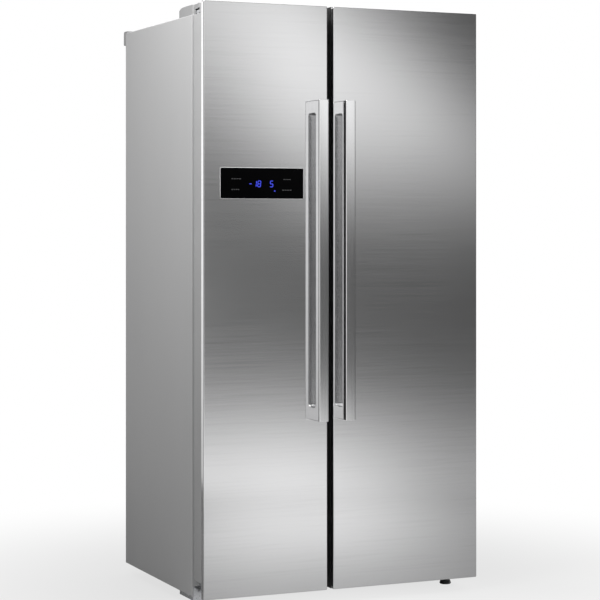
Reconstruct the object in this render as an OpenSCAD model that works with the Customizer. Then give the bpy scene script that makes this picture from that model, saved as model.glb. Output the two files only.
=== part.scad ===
// Side by side refrigerator: freezer behind the narrow left door, fridge behind the right one.
// Millimetres. The front faces -Y, +X is to the viewer's right and the floor is at Z = 0.
// The origin is on the floor, under the centre of the whole box.

/* [Cabinet] */
// Width over the cabinet and both doors
body_w = 895; // [740:1:1080]
// Height from the floor to the top of the doors
body_h = 1766; // [1470:1:2120]
// Depth of the cabinet box without its doors
cabinet_d = 602; // [500:1:724]
// Height of the cabinet's underside above the floor
foot_h = 35; // [29:1:42]
// Step from the cabinet's roof up to the top of the doors
door_rise = 33; // [27:1:40]
// Step from the cabinet's underside up to the bottom of the doors
door_drop = 5; // [4:1:6]
// Thickness of the insulated side walls
wall_t = 45; // [37:1:54]
// Thickness of the insulated wall between the two compartments
mullion_t = 60; // [50:1:72]
// Thickness of the insulated roof
roof_t = 50; // [41:1:60]
// Thickness of the insulated floor
floor_t = 55; // [45:1:66]
// Thickness of the insulated back
back_t = 60; // [50:1:72]
// Thickness of the painted steel sheets
sheet_t = 1; // [0.8:0.1:1.2]
// Thickness of the moulded inner liners
liner_t = 2.5; // [2:0.1:3]

/* [Machine compartment] */
// Depth of the compartment for the compressor
machine_d = 190; // [158:1:228]
// Height of the compartment for the compressor
machine_h = 230; // [191:1:276]
// Thickness of the insulated step above and in front of it
step_t = 45; // [37:1:54]
// Radius of the compressor's shell
compressor_r = 68; // [56:1:81]
// Radius of the condenser fan's blades
condenser_fan_r = 62; // [51:1:74]
// Radius of the freezer's air fan
evaporator_fan_r = 48; // [40:1:57]

/* [Doors] */
// Width of the freezer door
freezer_door_w = 392; // [326:1:471]
// Gap between the doors
door_gap = 19.5; // [16:0.5:23.5]
// Thickness of the doors
door_t = 75; // [62:1:90]
// Depth of the steel skin's folded edge
skin_band = 16; // [13:1:19]
// Thickness of the steel skin
skin_t = 1; // [0.8:0.1:1.2]
// Gap between door and cabinet, which the magnetic seal fills
gasket_t = 18; // [15:1:22]
// Width of the magnetic seal
gasket_w = 16; // [13:1:19]
// Wall of the moulded frame around each door's edge
frame_t = 3; // [2.5:0.1:3.6]
// Largest angle that a door opens to
door_swing = 135; // [112:1:135]

/* [Hinges] */
// Distance of the hinge axis from the cabinet's side
hinge_inset = 16; // [13:1:19]
// Distance of the hinge axis behind the door's front
hinge_depth = 49; // [46:1:54]
// Radius of the hinge pins
pin_r = 5; // [4.2:0.1:6]
// Running clearance of a pin or an axle in its bore
pin_fit = 0.05; // [0.02:0.01:0.1]
// Thickness of the hinge plates
hinge_t = 4; // [3.4:0.1:4.8]
// Width of the notches in a door around its hinges
notch_w = 76; // [70:1:91]
// Height of the notch at the bottom of a door
notch_bottom = 46; // [39:1:55]
// How far a hinge cover reaches back over the roof
cover_l = 121; // [101:1:145]
// Width of a hinge cover
cover_w = 58; // [49:1:60]
// How far the hinge covers stay below the top of the doors
cover_drop = 3.5; // [3:0.5:4]

/* [Handles] */
// Whole reach of a handle in front of its door
handle_stand = 50; // [42:1:60]
// Length of a handle
handle_l = 943.5; // [787:0.5:1132]
// Width of a handle
handle_w = 32; // [27:1:38]
// Thickness of the handle's bar from front to back
handle_t = 25; // [21:1:30]
// Height of the two posts that carry the bar
post_h = 40; // [34:1:48]
// Distance of a handle from the free edge of its door
handle_inset = 17.5; // [15:0.5:21]
// Distance of the handle's top below the top of the door
handle_drop = 279.5; // [233:0.5:335]

/* [Display] */
// Width of the display glass
display_w = 261.5; // [218:0.5:313]
// Height of the display glass
display_h = 89; // [75:1:106]
// Distance of the glass from the freezer door's hinge side
display_inset = 52.5; // [44:0.5:63]
// Distance of the glass below the top of the door
display_drop = 481; // [401:1:577]
// Thickness of the display glass
display_t = 4; // [3.4:0.1:4.8]

/* [Inside] */
// Number of glass shelves in the fridge
fridge_shelf_n = 4; // [2:1:5]
// Number of glass shelves in the freezer
freezer_shelf_n = 4; // [2:1:5]
// Thickness of the shelf glass
glass_t = 4; // [3.4:0.1:4.8]
// Number of shelves on each door
bin_n = 5; // [3:1:6]
// Height of the door shelves' walls
bin_h = 92; // [77:1:110]
// How far the door shelves reach into the cabinet
bin_in = 91; // [76:1:95]
// Height of a drawer
drawer_h = 180; // [150:1:190]
// Wall of drawers, door shelves and the ice box
tray_t = 2.5; // [2:0.1:3]
// Width of the twist ice trays
ice_tray_w = 104; // [87:1:112]

/* [Stance] */
// Radius of the front levelling feet
foot_r = 18; // [15:1:21]
// Distance of the rollers from the cabinet's side
roller_inset = 72; // [60:1:86]
// Thickness of the spacer rail at the top of the back
spacer_d = 24; // [20:1:29]
// Height of the spacer rail
spacer_h = 45; // [38:1:54]

/* [Hidden] */

// Colours
grey_paint = [0.74, 0.75, 0.76];
steel = [0.72, 0.72, 0.73];
dark_grey = [0.36, 0.37, 0.38];
zinc = [0.8, 0.81, 0.82];
white_plastic = [0.93, 0.94, 0.95];
foam_colour = [0.93, 0.85, 0.6];
black = [0.05, 0.05, 0.06];
clear_plastic = [0.8, 0.88, 0.92, 0.5];
glass_colour = [0.75, 0.88, 0.86, 0.5];
copper = [0.75, 0.45, 0.3];

// Small clearances
seam = 0.4;        // between neighbouring foam blocks
slip = 0.3;        // between the seal and the cabinet, and around the display glass
swing_gap = 4;     // between a door's inner parts and the cabinet's inner walls
load_gap = 10;     // between the door shelves and whatever stands inside
side_gap = 13;     // between a drawer and the compartment's wall

// Places from front to back
y_front = -(handle_stand + door_t + gasket_t + cabinet_d + spacer_d) / 2;
y_door = y_front + handle_stand;
y_pan = y_door + skin_band;
y_inside = y_door + door_t;
y_cab = y_inside + gasket_t;
y_back = y_cab + cabinet_d;
y_hinge = y_door + hinge_depth;
y_rear_wall = y_back - back_t;
y_machine = y_back - machine_d;
y_step = y_machine - step_t;
y_load = y_cab + bin_in + load_gap;

// Places from the floor up
z_cab = foot_h;
z_door = foot_h + door_drop;
z_roof = body_h - door_rise;
z_floor = foot_h + floor_t;
z_ceiling = z_roof - roof_t;
z_machine = foot_h + machine_h;
z_step = z_machine + step_t;
door_h = body_h - z_door;
pan_t = 1.5;       // sheet under the cabinet
z_notch_top = z_roof - 2;
z_notch_bottom = z_door + notch_bottom;
seal_inset = 6;    // from a compartment's edge to its seal, at floor and ceiling
z_seal_low = z_floor - seal_inset - gasket_w;

x_side = body_w / 2;
fridge_door_w = body_w - freezer_door_w - door_gap;
hinge_front = y_cab - y_hinge;

// Inner edge of a compartment, measured from the cabinet's own side
function far_wall(door_w) = door_w + door_gap / 2 - mullion_t / 2;
freezer_far = far_wall(freezer_door_w);
fridge_far = far_wall(fridge_door_w);

// Furthest point, from the hinge side, that still swings out past the far wall at depth v
function swing_reach(door_w, v) = hinge_inset
    + sqrt(pow(far_wall(door_w) - hinge_inset - swing_gap, 2) + pow(hinge_front, 2) - pow(v, 2));

// Door liner's raised rim and the shelves that hang in it
dike_in = 27;                          // reach of the rim into the cabinet
dike_t = 12;
dike_near = wall_t + 16;
bin_near = dike_near + dike_t + 3;
z_dike_0 = z_floor + 14;
z_dike_1 = z_ceiling - 14;
function dike_far(door_w) = swing_reach(door_w, hinge_front + dike_in);
function bin_far(door_w) =
    min(swing_reach(door_w, hinge_front + bin_in), dike_far(door_w) - dike_t - 3);
bin_pitch = (z_dike_1 - z_dike_0 - 40) / bin_n;

// Shelves stand above the drawers at even steps
duct_d = 80;                           // depth of the freezer's air duct
z_drawer_0 = z_floor + 8;
z_drawer_1 = z_step + 10;
shelf_z0 = z_drawer_1 + drawer_h + 12;
ice_h = 215;                           // height kept for the ice maker
fridge_pitch = (z_ceiling - shelf_z0) / fridge_shelf_n;
freezer_pitch = (z_ceiling - ice_h - shelf_z0) / (freezer_shelf_n - 1);
shelf_y0 = y_load + 4;
ledge = [7, 9];                        // width and height of a shelf ledge
trim = [11, 16];                       // depth and height of a shelf's front trim

// Ice maker
ice_swing = norm([ice_tray_w / 2, 17]);   // furthest point of a tray from its axis
z_ice_axis = z_ceiling - ice_swing - 6;
ice_tray_l = 170;
ice_tray_h = 34;
ice_pin_r = 4;
ice_wall = 3;
tray_room = 3;
ice_frame_w = 2 * (ice_tray_w + 2 * tray_room) + 3 * ice_wall;
ice_frame_x = (wall_t + freezer_far - ice_frame_w) / 2;

// Fans
fan_hub_r = 17;
shaft_r = 2.5;
blade_gap = 4;
y_evaporator_fan = y_rear_wall - duct_d + 18;
z_evaporator_fan = z_step + drawer_h + 430;
x_evaporator_fan = (wall_t + freezer_far) / 2;
y_condenser_fan = y_machine + 92;
x_condenser_fan = x_side - 190;
z_condenser_fan = z_cab + 24 + condenser_fan_r + 14;

// Stance
roller_gap = 2;    // between a roller and the sheet above it
roller_r = (foot_h - roller_gap) / 2;
axle_r = 4;
roller_w = 16;
y_roller_front = y_cab + 90;
y_roller_rear = y_back - 70;
foot_x = 38;
foot_y = y_cab + 38;
stud_r = 5;
pad_h = 12;
bracket_t = 12;
bracket_l = 108;

cover_top = body_h - cover_drop;
cover_wall = 2;
cover_round = 16;
cover_slope = 48;

// Gland for the mains lead
x_inlet = -x_side + wall_t + 25;
z_inlet = z_machine - 34;
inlet_r = 4;

// Helpers

// Points of an arc
function arc(cx, cy, r, a0, a1, n = 5) =
    [for (i = [0:n]) let (a = a0 + (a1 - a0) * i / n) [cx + r * cos(a), cy + r * sin(a)]];

// Outline of a rectangle with round corners, from corner p to corner q
function round_rect(p, q, r, n = 5) = concat(
    arc(q[0] - r, p[1] + r, r, -90, 0, n), arc(q[0] - r, q[1] - r, r, 0, 90, n),
    arc(p[0] + r, q[1] - r, r, 90, 180, n), arc(p[0] + r, p[1] + r, r, 180, 270, n));

// A block from corner p to corner q
module block(p, q) {
    translate(p) cube(q - p);
}

// A block whose upright edges are round
module upright(p, q, r) {
    translate([0, 0, p[2]])
        linear_extrude(q[2] - p[2]) polygon(round_rect([p[0], p[1]], [q[0], q[1]], r));
}

// A plate standing in the X-Z plane, from y0 to y1, with its outline drawn as x and z
module plate_xz(y0, y1) {
    translate([0, y1, 0]) rotate([90, 0, 0]) linear_extrude(y1 - y0) children();
}

// A bar along X from x0 to x1, with its outline drawn as y and z
module bar_x(x0, x1) {
    translate([x0, 0, 0]) rotate([90, 0, 90]) linear_extrude(x1 - x0) children();
}

// An open tray: a block with its inside taken out from above
module tray(p, q, t, r = 8) {
    difference() {
        upright(p, q, r);
        upright([p[0] + t, p[1] + t, p[2] + t], [q[0] - t, q[1] - t, q[2] + 1], r - t);
    }
}

// Everything on the left half is drawn from the cabinet's left side, at x = 0 going inwards;
// the right half is the same seen in a mirror.
module left_side() {
    translate([-x_side, 0, 0]) children();
}
module right_side() {
    translate([x_side, 0, 0]) mirror([1, 0, 0]) children();
}
module both_sides() {
    left_side() children();
    right_side() children();
}

// Cabinet

// Painted wrapper: two sides and the roof, with a narrow lip folded in at the front
module cabinet_shell() {
    lip = 18;
    color(grey_paint) {
        difference() {
            block([-x_side, y_cab, z_cab], [x_side, y_back, z_roof]);
            block([-x_side + sheet_t, y_cab + sheet_t, z_cab - 1],
                  [x_side - sheet_t, y_back + 1, z_roof - sheet_t]);
            block([-x_side + lip, y_cab - 1, z_cab - 1], [x_side - lip, y_cab + 2, z_roof - lip]);
        }
    }
}

// Rigid foam, cast between wrapper and liners, as the blocks that it is made of
module cabinet_foam() {
    out = x_side - sheet_t;
    y0 = y_cab + sheet_t;
    y1 = y_back - sheet_t;
    roof_z = z_ceiling + liner_t;
    floor_z = z_floor - liner_t;
    mull_0 = -x_side + freezer_far + liner_t;
    mull_1 = x_side - fridge_far - liner_t;
    side_0 = wall_t - liner_t;
    color(foam_colour) {
        both_sides() {
            block([sheet_t, y0, z_cab + pan_t], [side_0, y1, roof_z - seam]);
        }
        block([-out, y0, roof_z], [out, y1, z_roof - sheet_t]);
        block([-x_side + side_0 + seam, y0, z_cab + pan_t],
              [x_side - side_0 - seam, y_machine - seam, floor_z]);
        block([-x_side + side_0 + seam, y_step + liner_t, floor_z + seam],
              [x_side - side_0 - seam, y_machine - seam, z_step - liner_t]);
        block([-x_side + side_0 + seam, y_machine, z_machine],
              [x_side - side_0 - seam, y1, z_step - liner_t]);
        block([-x_side + side_0 + seam, y_rear_wall + liner_t, z_step - liner_t + seam],
              [x_side - side_0 - seam, y1, roof_z - seam]);
        block([mull_0, y0, floor_z + seam], [mull_1, y_step + liner_t - seam, roof_z - seam]);
        block([mull_0, y_step + liner_t, z_step - liner_t + seam],
              [mull_1, y_rear_wall + liner_t - seam, roof_z - seam]);
    }
}

// Outline of a compartment seen from the side, grown by t
function compartment(t) = [
    [y_cab + sheet_t - t, z_floor - t], [y_step + t, z_floor - t], [y_step + t, z_step - t],
    [y_rear_wall + t, z_step - t], [y_rear_wall + t, z_ceiling + t],
    [y_cab + sheet_t - t, z_ceiling + t]];

// White moulded liner with ledges for the shelves and runners for the drawers
module liner(far, shelves, back_y) {
    color(white_plastic) {
        difference() {
            bar_x(wall_t - liner_t, far + liner_t) polygon(compartment(liner_t));
            bar_x(wall_t, far) polygon(compartment(0));
            block([0, y_cab - 9, z_cab], [far + wall_t, y_cab + sheet_t, z_roof]);
        }
        for (z = shelves) {
            for (x = [wall_t - 0.5, far - ledge[0]]) {
                block([x, shelf_y0 + trim[0] + 2, z - ledge[1]],
                      [x + ledge[0] + 0.5, back_y - 4, z]);
            }
        }
        for (x = [wall_t - 0.5, far - side_gap + 2]) {
            for (run = [[z_drawer_0, y_step], [z_drawer_1, back_y]]) {
                block([x, y_load + 12, run[0] + drawer_h / 2 - 7],
                      [x + side_gap - 1.5, run[1] - 6, run[0] + drawer_h / 2 - 1]);
            }
        }
    }
}

function fridge_shelf_z(i) = shelf_z0 + i * fridge_pitch;
function freezer_shelf_z(i) = shelf_z0 + i * freezer_pitch;

module freezer_liner() {
    left_side() liner(freezer_far, [for (i = [0:freezer_shelf_n - 1]) freezer_shelf_z(i)],
                      y_rear_wall - duct_d);
}

module fridge_liner() {
    right_side() liner(fridge_far, [for (i = [0:fridge_shelf_n - 1]) fridge_shelf_z(i)],
                       y_rear_wall);
}

// Steel faces that the seals close on: posts, rails and the strip between the doors
module front_frame() {
    lip = 18 + seam;
    z0 = z_cab + pan_t;
    color(grey_paint) difference() {
        block([-x_side + lip, y_cab, z0], [x_side - lip, y_cab + sheet_t, z_roof - lip]);
        block([-x_side + wall_t, y_cab - 1, z_floor],
              [-x_side + freezer_far, y_cab + 2, z_ceiling]);
        block([x_side - fridge_far, y_cab - 1, z_floor],
              [x_side - wall_t, y_cab + 2, z_ceiling]);
    }
}

// Flat steel back above the machine compartment
module back_panel() {
    color(grey_paint) block([-x_side + sheet_t, y_back - sheet_t, z_machine],
                            [x_side - sheet_t, y_back, z_roof - sheet_t]);
}

// Cheeks and axle that carry one roller
module roller_bracket(y) {
    cheek = 3;
    gap = roller_w / 2 + 1;
    for (s = [-gap - cheek, gap]) {
        block([roller_inset + s, y - 11, roller_r - 8],
              [roller_inset + s + cheek, y + 11, z_cab]);
    }
    translate([roller_inset - gap - cheek, y, roller_r]) rotate([0, 90, 0])
        cylinder(r = axle_r, h = 2 * (gap + cheek), $fn = 32);
}

// Sheet under the cabinet, machine floor and the four roller brackets
module base_frame() {
    color(dark_grey) {
        block([-x_side + sheet_t, y_cab + sheet_t, z_cab],
              [x_side - sheet_t, y_back - 3, z_cab + pan_t]);
        both_sides() {
            roller_bracket(y_roller_front);
            roller_bracket(y_roller_rear);
        }
    }
}

// Vented cover over the machine compartment, with the hole for the gland
module machine_cover() {
    slot_w = 60;
    color(dark_grey) difference() {
        block([-x_side + 4, y_back - sheet_t, z_cab + 6],
              [x_side - 4, y_back + 0.5, z_machine - 4]);
        for (x = [x_inlet + 36 : slot_w + 14 : x_side - 60 - slot_w]) {
            for (z = [z_cab + 32 : 16 : z_machine - 34]) {
                block([x, y_back - 3, z], [x + slot_w, y_back + 1, z + 7]);
            }
        }
        translate([x_inlet, y_back + 1, z_inlet]) rotate([90, 0, 0])
            cylinder(r = inlet_r, h = 4, $fn = 48);
    }
}

// Sealed compressor on its base plate, with rubber grommets
module compressor() {
    x = -x_side + wall_t + 15 + compressor_r;
    y = y_machine + machine_d / 2;
    z = z_cab + pan_t + 14;
    shell_h = 1.9 * compressor_r;
    shoulder = 0.5 * compressor_r;
    color(black) translate([x, y, z]) {
        translate([0, 0, 3]) rotate_extrude($fn = 64) polygon(concat([[0, 0]],
            arc(compressor_r - shoulder, shoulder, shoulder, -90, 0, 8),
            arc(compressor_r - shoulder, shell_h - shoulder, shoulder, 0, 90, 8),
            [[0, shell_h]]));
        block([-compressor_r - 8, -compressor_r, 0], [compressor_r + 8, compressor_r, 3.5]);
        for (a = [-1, 1]) {
            for (b = [-1, 1]) {
                translate([a * (compressor_r - 2), b * (compressor_r - 12), -14])
                    cylinder(r = 9, h = 14.5, $fn = 24);
            }
        }
        for (a = [-12, 12]) {
            translate([a, 0, shell_h]) cylinder(r = 4, h = 16, $fn = 24);
        }
    }
}

// Rows of tubes along X, with fins across them
module coil_block(p, q, rows, layers, fins, tube_r) {
    step_y = (q[1] - p[1]) / layers;
    step_z = (q[2] - p[2]) / rows;
    for (j = [0:layers - 1]) {
        for (k = [0:rows - 1]) {
            translate([p[0], p[1] + (j + 0.5) * step_y, p[2] + (k + 0.5) * step_z])
                rotate([0, 90, 0]) cylinder(r = tube_r, h = q[0] - p[0], $fn = 16);
        }
    }
    for (i = [0:fins - 1]) {
        translate([p[0] + 8 + i * (q[0] - p[0] - 17) / (fins - 1), p[1], p[2]])
            cube([1, q[1] - p[1], q[2] - p[2]]);
    }
}

module condenser() {
    h = 2 * condenser_fan_r + 6;
    color(copper) coil_block([x_side - 272, y_machine + 18, z_cab + 28],
        [x_side - 108, y_machine + 68, z_cab + 28 + h], 6, 2, 16, 3.2);
}

// Fan with pitched blades around a hub that is bored for its shaft; it turns about Y
module fan(r, depth) {
    rotate([90, 0, 0]) difference() {
        union() {
            translate([0, 0, -depth / 2]) cylinder(r = fan_hub_r, h = depth, $fn = 48);
            for (i = [0:6]) {
                rotate([0, 0, i * 360 / 7]) translate([fan_hub_r - 3, 0, 0]) rotate([32, 0, 0])
                    translate([0, -0.24 * r, -0.8]) cube([r - fan_hub_r - 1.5, 0.48 * r, 1.6]);
            }
        }
        translate([0, 0, -depth / 2 - 1])
            cylinder(r = shaft_r + pin_fit, h = depth - 3, $fn = 48);
    }
}

// Motor with its shaft, standing behind a fan hub
module fan_motor(depth) {
    rotate([-90, 0, 0]) {
        translate([0, 0, depth / 2 + 3]) cylinder(r = fan_hub_r - 1, h = 26, $fn = 48);
        translate([0, 0, -depth / 2 + 4.5]) cylinder(r = shaft_r, h = depth, $fn = 48);
    }
}

fan_depth = 20;

// Plate with a round mouth for the fan, and arms that hold the motor behind it
module condenser_fan_shroud() {
    mouth = condenser_fan_r + blade_gap;
    reach = mouth + 6;
    motor_y = y_condenser_fan + fan_depth / 2 + 20;
    color(black) {
        difference() {
            block([x_condenser_fan - reach, y_condenser_fan - 14, z_cab + pan_t],
                  [x_condenser_fan + reach, y_condenser_fan + 6, z_condenser_fan + reach]);
            translate([x_condenser_fan, y_condenser_fan + 20, z_condenser_fan])
                rotate([90, 0, 0]) cylinder(r = mouth, h = 40, $fn = 96);
        }
        translate([x_condenser_fan, y_condenser_fan, z_condenser_fan]) fan_motor(fan_depth);
        for (s = [-1, 1]) {
            block([x_condenser_fan + s * (mouth + 3) - 3, y_condenser_fan + 5,
                   z_condenser_fan - 6],
                  [x_condenser_fan + s * (mouth + 3) + 3, motor_y + 4, z_condenser_fan + 6]);
        }
        block([x_condenser_fan - mouth - 6, motor_y, z_condenser_fan - 6],
              [x_condenser_fan + mouth + 6, motor_y + 4, z_condenser_fan + 6]);
    }
}

module condenser_fan() {
    color(dark_grey) translate([x_condenser_fan, y_condenser_fan, z_condenser_fan])
        fan(condenser_fan_r, fan_depth);
}

// Shallow pan that catches the defrost water under the condenser
module drip_tray() {
    color(black) tray([x_side - 280, y_machine + 10, z_cab + pan_t + 1],
                      [x_side - 100, y_machine + 74, z_cab + pan_t + 20], 2);
}

// Evaporator behind the freezer's duct cover
module evaporator() {
    z0 = z_step + 40;
    color(zinc) left_side()
        coil_block([wall_t + 22, y_rear_wall - 58, z0],
                   [freezer_far - 22, y_rear_wall - 8, z0 + 330], 9, 2, 22, 4);
}

// Box-shaped cover with air slots and the motor mount of the air fan
module freezer_duct_cover() {
    wall = 3;
    z0 = z_step + 12;
    z1 = z_ceiling - 12;
    x0 = wall_t + 5;
    x1 = freezer_far - 5;
    y0 = y_rear_wall - duct_d;
    mouth = evaporator_fan_r + blade_gap;
    color(white_plastic) left_side() {
        difference() {
            block([x0, y0, z0], [x1, y_rear_wall - 0.5, z1]);
            block([x0 + wall, y0 + wall, z0 + wall], [x1 - wall, y_rear_wall, z1 - wall]);
            for (z = [z_evaporator_fan + 130 : 150 : z1 - 60]) {
                for (k = [0:2]) {
                    block([x0 + 50, y0 - 1, z + 14 * k], [x1 - 50, y0 + wall + 1, z + 14 * k + 6]);
                }
            }
            for (k = [0:6]) {
                block([x_evaporator_fan - 60 + 18 * k, y0 - 1, z_evaporator_fan - 45],
                      [x_evaporator_fan - 51 + 18 * k, y0 + wall + 1, z_evaporator_fan + 45]);
            }
        }
        difference() {
            block([x0 + wall, y_evaporator_fan - 6, z_evaporator_fan - mouth - 8],
                  [x1 - wall, y_evaporator_fan + 6, z_evaporator_fan + mouth + 8]);
            translate([x_evaporator_fan, y_evaporator_fan + 10, z_evaporator_fan])
                rotate([90, 0, 0]) cylinder(r = mouth, h = 20, $fn = 96);
        }
        translate([x_evaporator_fan, y_evaporator_fan, z_evaporator_fan]) fan_motor(fan_depth);
        block([x0 + wall, y_evaporator_fan + 28, z_evaporator_fan - 6],
              [x1 - wall, y_evaporator_fan + 32, z_evaporator_fan + 6]);
    }
}

module evaporator_fan() {
    color(dark_grey) left_side()
        translate([x_evaporator_fan, y_evaporator_fan, z_evaporator_fan])
            fan(evaporator_fan_r, fan_depth);
}

// Slim air channel up the back of the fridge
module fridge_duct_cover() {
    x0 = fridge_far / 2 - 70;
    z0 = shelf_z0 + 30;
    z1 = z_ceiling - 20;
    color(white_plastic) right_side() difference() {
        upright([x0, y_rear_wall - 14, z0], [x0 + 200, y_rear_wall - 0.5, z1], 6);
        for (i = [0:fridge_shelf_n - 1]) {
            for (k = [0:2]) {
                block([x0 + 30, y_rear_wall - 15, fridge_shelf_z(i) + 130 + 12 * k],
                      [x0 + 170, y_rear_wall - 8, fridge_shelf_z(i) + 136 + 12 * k]);
            }
        }
    }
}

// Closed box with the control electronics, between compressor and condenser
module control_box() {
    color(dark_grey) {
        block([-70, y_machine + 12, z_cab + pan_t + 60], [50, y_machine + 52, z_machine - 24]);
        block([-66, y_machine + 52, z_cab + pan_t + 64], [46, y_machine + 56, z_machine - 28]);
    }
}

// Gland for the mains lead in the machine cover
module cord_inlet() {
    color(black) translate([x_inlet, y_back, z_inlet]) rotate([90, 0, 0]) difference() {
        union() {
            translate([0, 0, -9]) cylinder(r = 11, h = 8.5, $fn = 48);
            translate([0, 0, -3]) cylinder(r = 15, h = 2.5, $fn = 48);
        }
        translate([0, 0, -10]) cylinder(r = inlet_r, h = 12, $fn = 48);
    }
}

// Rail across the top of the back that keeps the cabinet off the wall
module spacer_rail() {
    y1 = y_back + spacer_d;
    z1 = z_roof + 6;
    z0 = z1 - spacer_h;
    color(dark_grey) bar_x(-x_side + 1, x_side - 1) polygon(concat(
        [[y_back, z0]], arc(y1 - 6, z0 + 6, 6, -90, 0, 4), arc(y1 - 9, z1 - 9, 9, 0, 90, 4),
        [[y_back - 8, z1], [y_back - 8, z_roof], [y_back, z_roof]]));
}

// Hinges

// One top hinge: a plate screwed to the roof, with the pin that drops into the door
module top_hinge() {
    color(zinc) {
        difference() {
            union() {
                translate([hinge_inset, y_hinge, z_roof]) cylinder(r = 11, h = hinge_t, $fn = 48);
                block([hinge_inset - 5, y_hinge, z_roof],
                      [hinge_inset + 15, y_cab + 20, z_roof + hinge_t]);
                block([hinge_inset - 5, y_hinge + 6, z_roof],
                      [hinge_inset - 3, y_cab + 4, z_roof + 12]);
                block([9, y_cab + 14, z_roof], [cover_w - 6, y_cab + 96, z_roof + hinge_t]);
            }
            for (y = [y_cab + 32, y_cab + 78]) {
                translate([cover_w / 2, y, z_roof - 1]) cylinder(r = 3, h = 8, $fn = 32);
            }
        }
        translate([hinge_inset, y_hinge, z_roof - 20]) cylinder(r = pin_r, h = 30, $fn = 48);
    }
}

module top_hinges() {
    both_sides() top_hinge();
}

// Outline of a hinge cover, drawn inwards by i
module cover_outline(i) {
    translate([hinge_inset + 3, y_hinge]) circle(r = 17 - i, $fn = 64);
    polygon([[hinge_inset - 8 + i, y_hinge], [cover_w + 3 - i, y_hinge + 8],
             [cover_w + 3 - i, y_cab + 12], [hinge_inset - 8 + i, y_cab + 12]]);
    polygon(round_rect([3 + i, y_cab + 3 + i], [3 + cover_w - i, y_cab + cover_l - i], 7 - i));
}

// What the curved rear top edge of a hinge cover leaves out, drawn inwards by i:
// the outside of a quarter of an ellipse
module cover_corner(i) {
    long = cover_slope - i;
    high = cover_round - i;
    y = y_cab + cover_l - i - long;
    z = cover_top - i - high;
    translate([-1, 0, 0]) rotate([90, 0, 90]) linear_extrude(cover_w + 6)
        polygon(concat([[y + long + 3, z], [y + long + 3, z + high + 3], [y, z + high + 3]],
                       [for (a = [90 : -7.5 : 0]) [y + long * cos(a), z + high * sin(a)]]));
}

// Hollow plastic cover over the hinge, with a slot where the plate shows at the side
module hinge_cover() {
    color(grey_paint) difference() {
        translate([0, 0, z_roof]) linear_extrude(cover_top - z_roof) cover_outline(0);
        cover_corner(0);
        difference() {
            translate([0, 0, z_roof - 1]) linear_extrude(cover_top - z_roof - 1)
                cover_outline(cover_wall);
            cover_corner(cover_wall);
        }
        block([-1, y_hinge - 8, z_roof - 1], [hinge_inset, y_cab - 6, z_roof + 16]);
    }
}

module hinge_covers() {
    both_sides() hinge_cover();
}

// One bottom hinge: bracket under the cabinet, upright leg, arm and pin for the door
module bottom_hinge() {
    z_arm = z_door + 16;
    color(zinc) {
        difference() {
            union() {
                block([2, y_cab - hinge_t, z_cab - bracket_t],
                      [cover_w, y_cab + bracket_l, z_cab]);
                block([4, y_cab - hinge_t, z_cab - 1], [cover_w, y_cab, z_seal_low - 3]);
                block([hinge_inset - 7, y_hinge, z_arm],
                      [hinge_inset + 13, y_cab - 1, z_arm + hinge_t]);
                translate([hinge_inset, y_hinge, z_arm]) cylinder(r = 14, h = hinge_t, $fn = 48);
            }
            translate([foot_x, foot_y, z_cab - bracket_t - 1])
                cylinder(r = stud_r + pin_fit, h = bracket_t + 2, $fn = 48);
        }
        translate([hinge_inset, y_hinge, z_arm])
            cylinder(r = pin_r, h = z_notch_bottom + 20 - z_arm, $fn = 48);
    }
}

module bottom_hinges() {
    both_sides() bottom_hinge();
}

// Pan-head screws in the hinge plates, the bottom brackets and the machine cover
module screws() {
    color(zinc) {
        both_sides() {
            for (y = [y_cab + 32, y_cab + 78]) {
                translate([cover_w / 2, y, z_roof + hinge_t]) cylinder(r = 6, h = 3, $fn = 24);
                translate([cover_w / 2, y, z_roof]) cylinder(r = 2.6, h = 5, $fn = 24);
            }
            translate([cover_w - 12, y_cab - hinge_t, z_cab + 16]) rotate([90, 0, 0])
                cylinder(r = 5, h = 2.5, $fn = 24);
        }
        for (x = [-x_side + 18, -130, 130, x_side - 18]) {
            for (z = [z_cab + 14, z_machine - 12]) {
                translate([x, y_back + 2.5, z]) rotate([90, 0, 0])
                    cylinder(r = 4.5, h = 2, $fn = 24);
            }
        }
    }
}

// Inside

// One shelf pane, which rests on the liner's ledges
module shelf_glass(far, z, back_y) {
    block([wall_t + 1, shelf_y0 + trim[0] - 3, z], [far - 1, back_y - 10, z + glass_t]);
}

// The trim that is clipped over a pane's front edge
module shelf_trim(far, z) {
    y1 = shelf_y0 + trim[0];
    difference() {
        bar_x(wall_t + 2, far - 2) polygon(concat(
            [[y1, z - 4], [y1, z - 4 + trim[1]]],
            arc(shelf_y0 + 4, z - 8 + trim[1], 4, 90, 180, 4), arc(shelf_y0 + 4, z, 4, 180, 270, 4)));
        block([wall_t, y1 - 3, z], [far, y1 + 1, z + glass_t]);
    }
}

module fridge_shelves() {
    color(glass_colour) right_side() for (i = [0:fridge_shelf_n - 1]) {
        shelf_glass(fridge_far, fridge_shelf_z(i), y_rear_wall - (i ? 10 : 0));
    }
}

module fridge_shelf_trims() {
    color(white_plastic) right_side() for (i = [0:fridge_shelf_n - 1]) {
        shelf_trim(fridge_far, fridge_shelf_z(i));
    }
}

// Freezer panes with their trims
module freezer_shelves() {
    color(glass_colour) left_side() for (i = [0:freezer_shelf_n - 1]) {
        shelf_glass(freezer_far, freezer_shelf_z(i), y_rear_wall - duct_d);
        shelf_trim(freezer_far, freezer_shelf_z(i));
    }
}

function ice_axis_x(k) =
    ice_frame_x + ice_wall + tray_room + ice_tray_w / 2
    + k * (ice_tray_w + 2 * tray_room + ice_wall);
y_ice_0 = shelf_y0 + 10;
y_ice_1 = y_ice_0 + ice_tray_l + 2 * ice_wall + 2;

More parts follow.
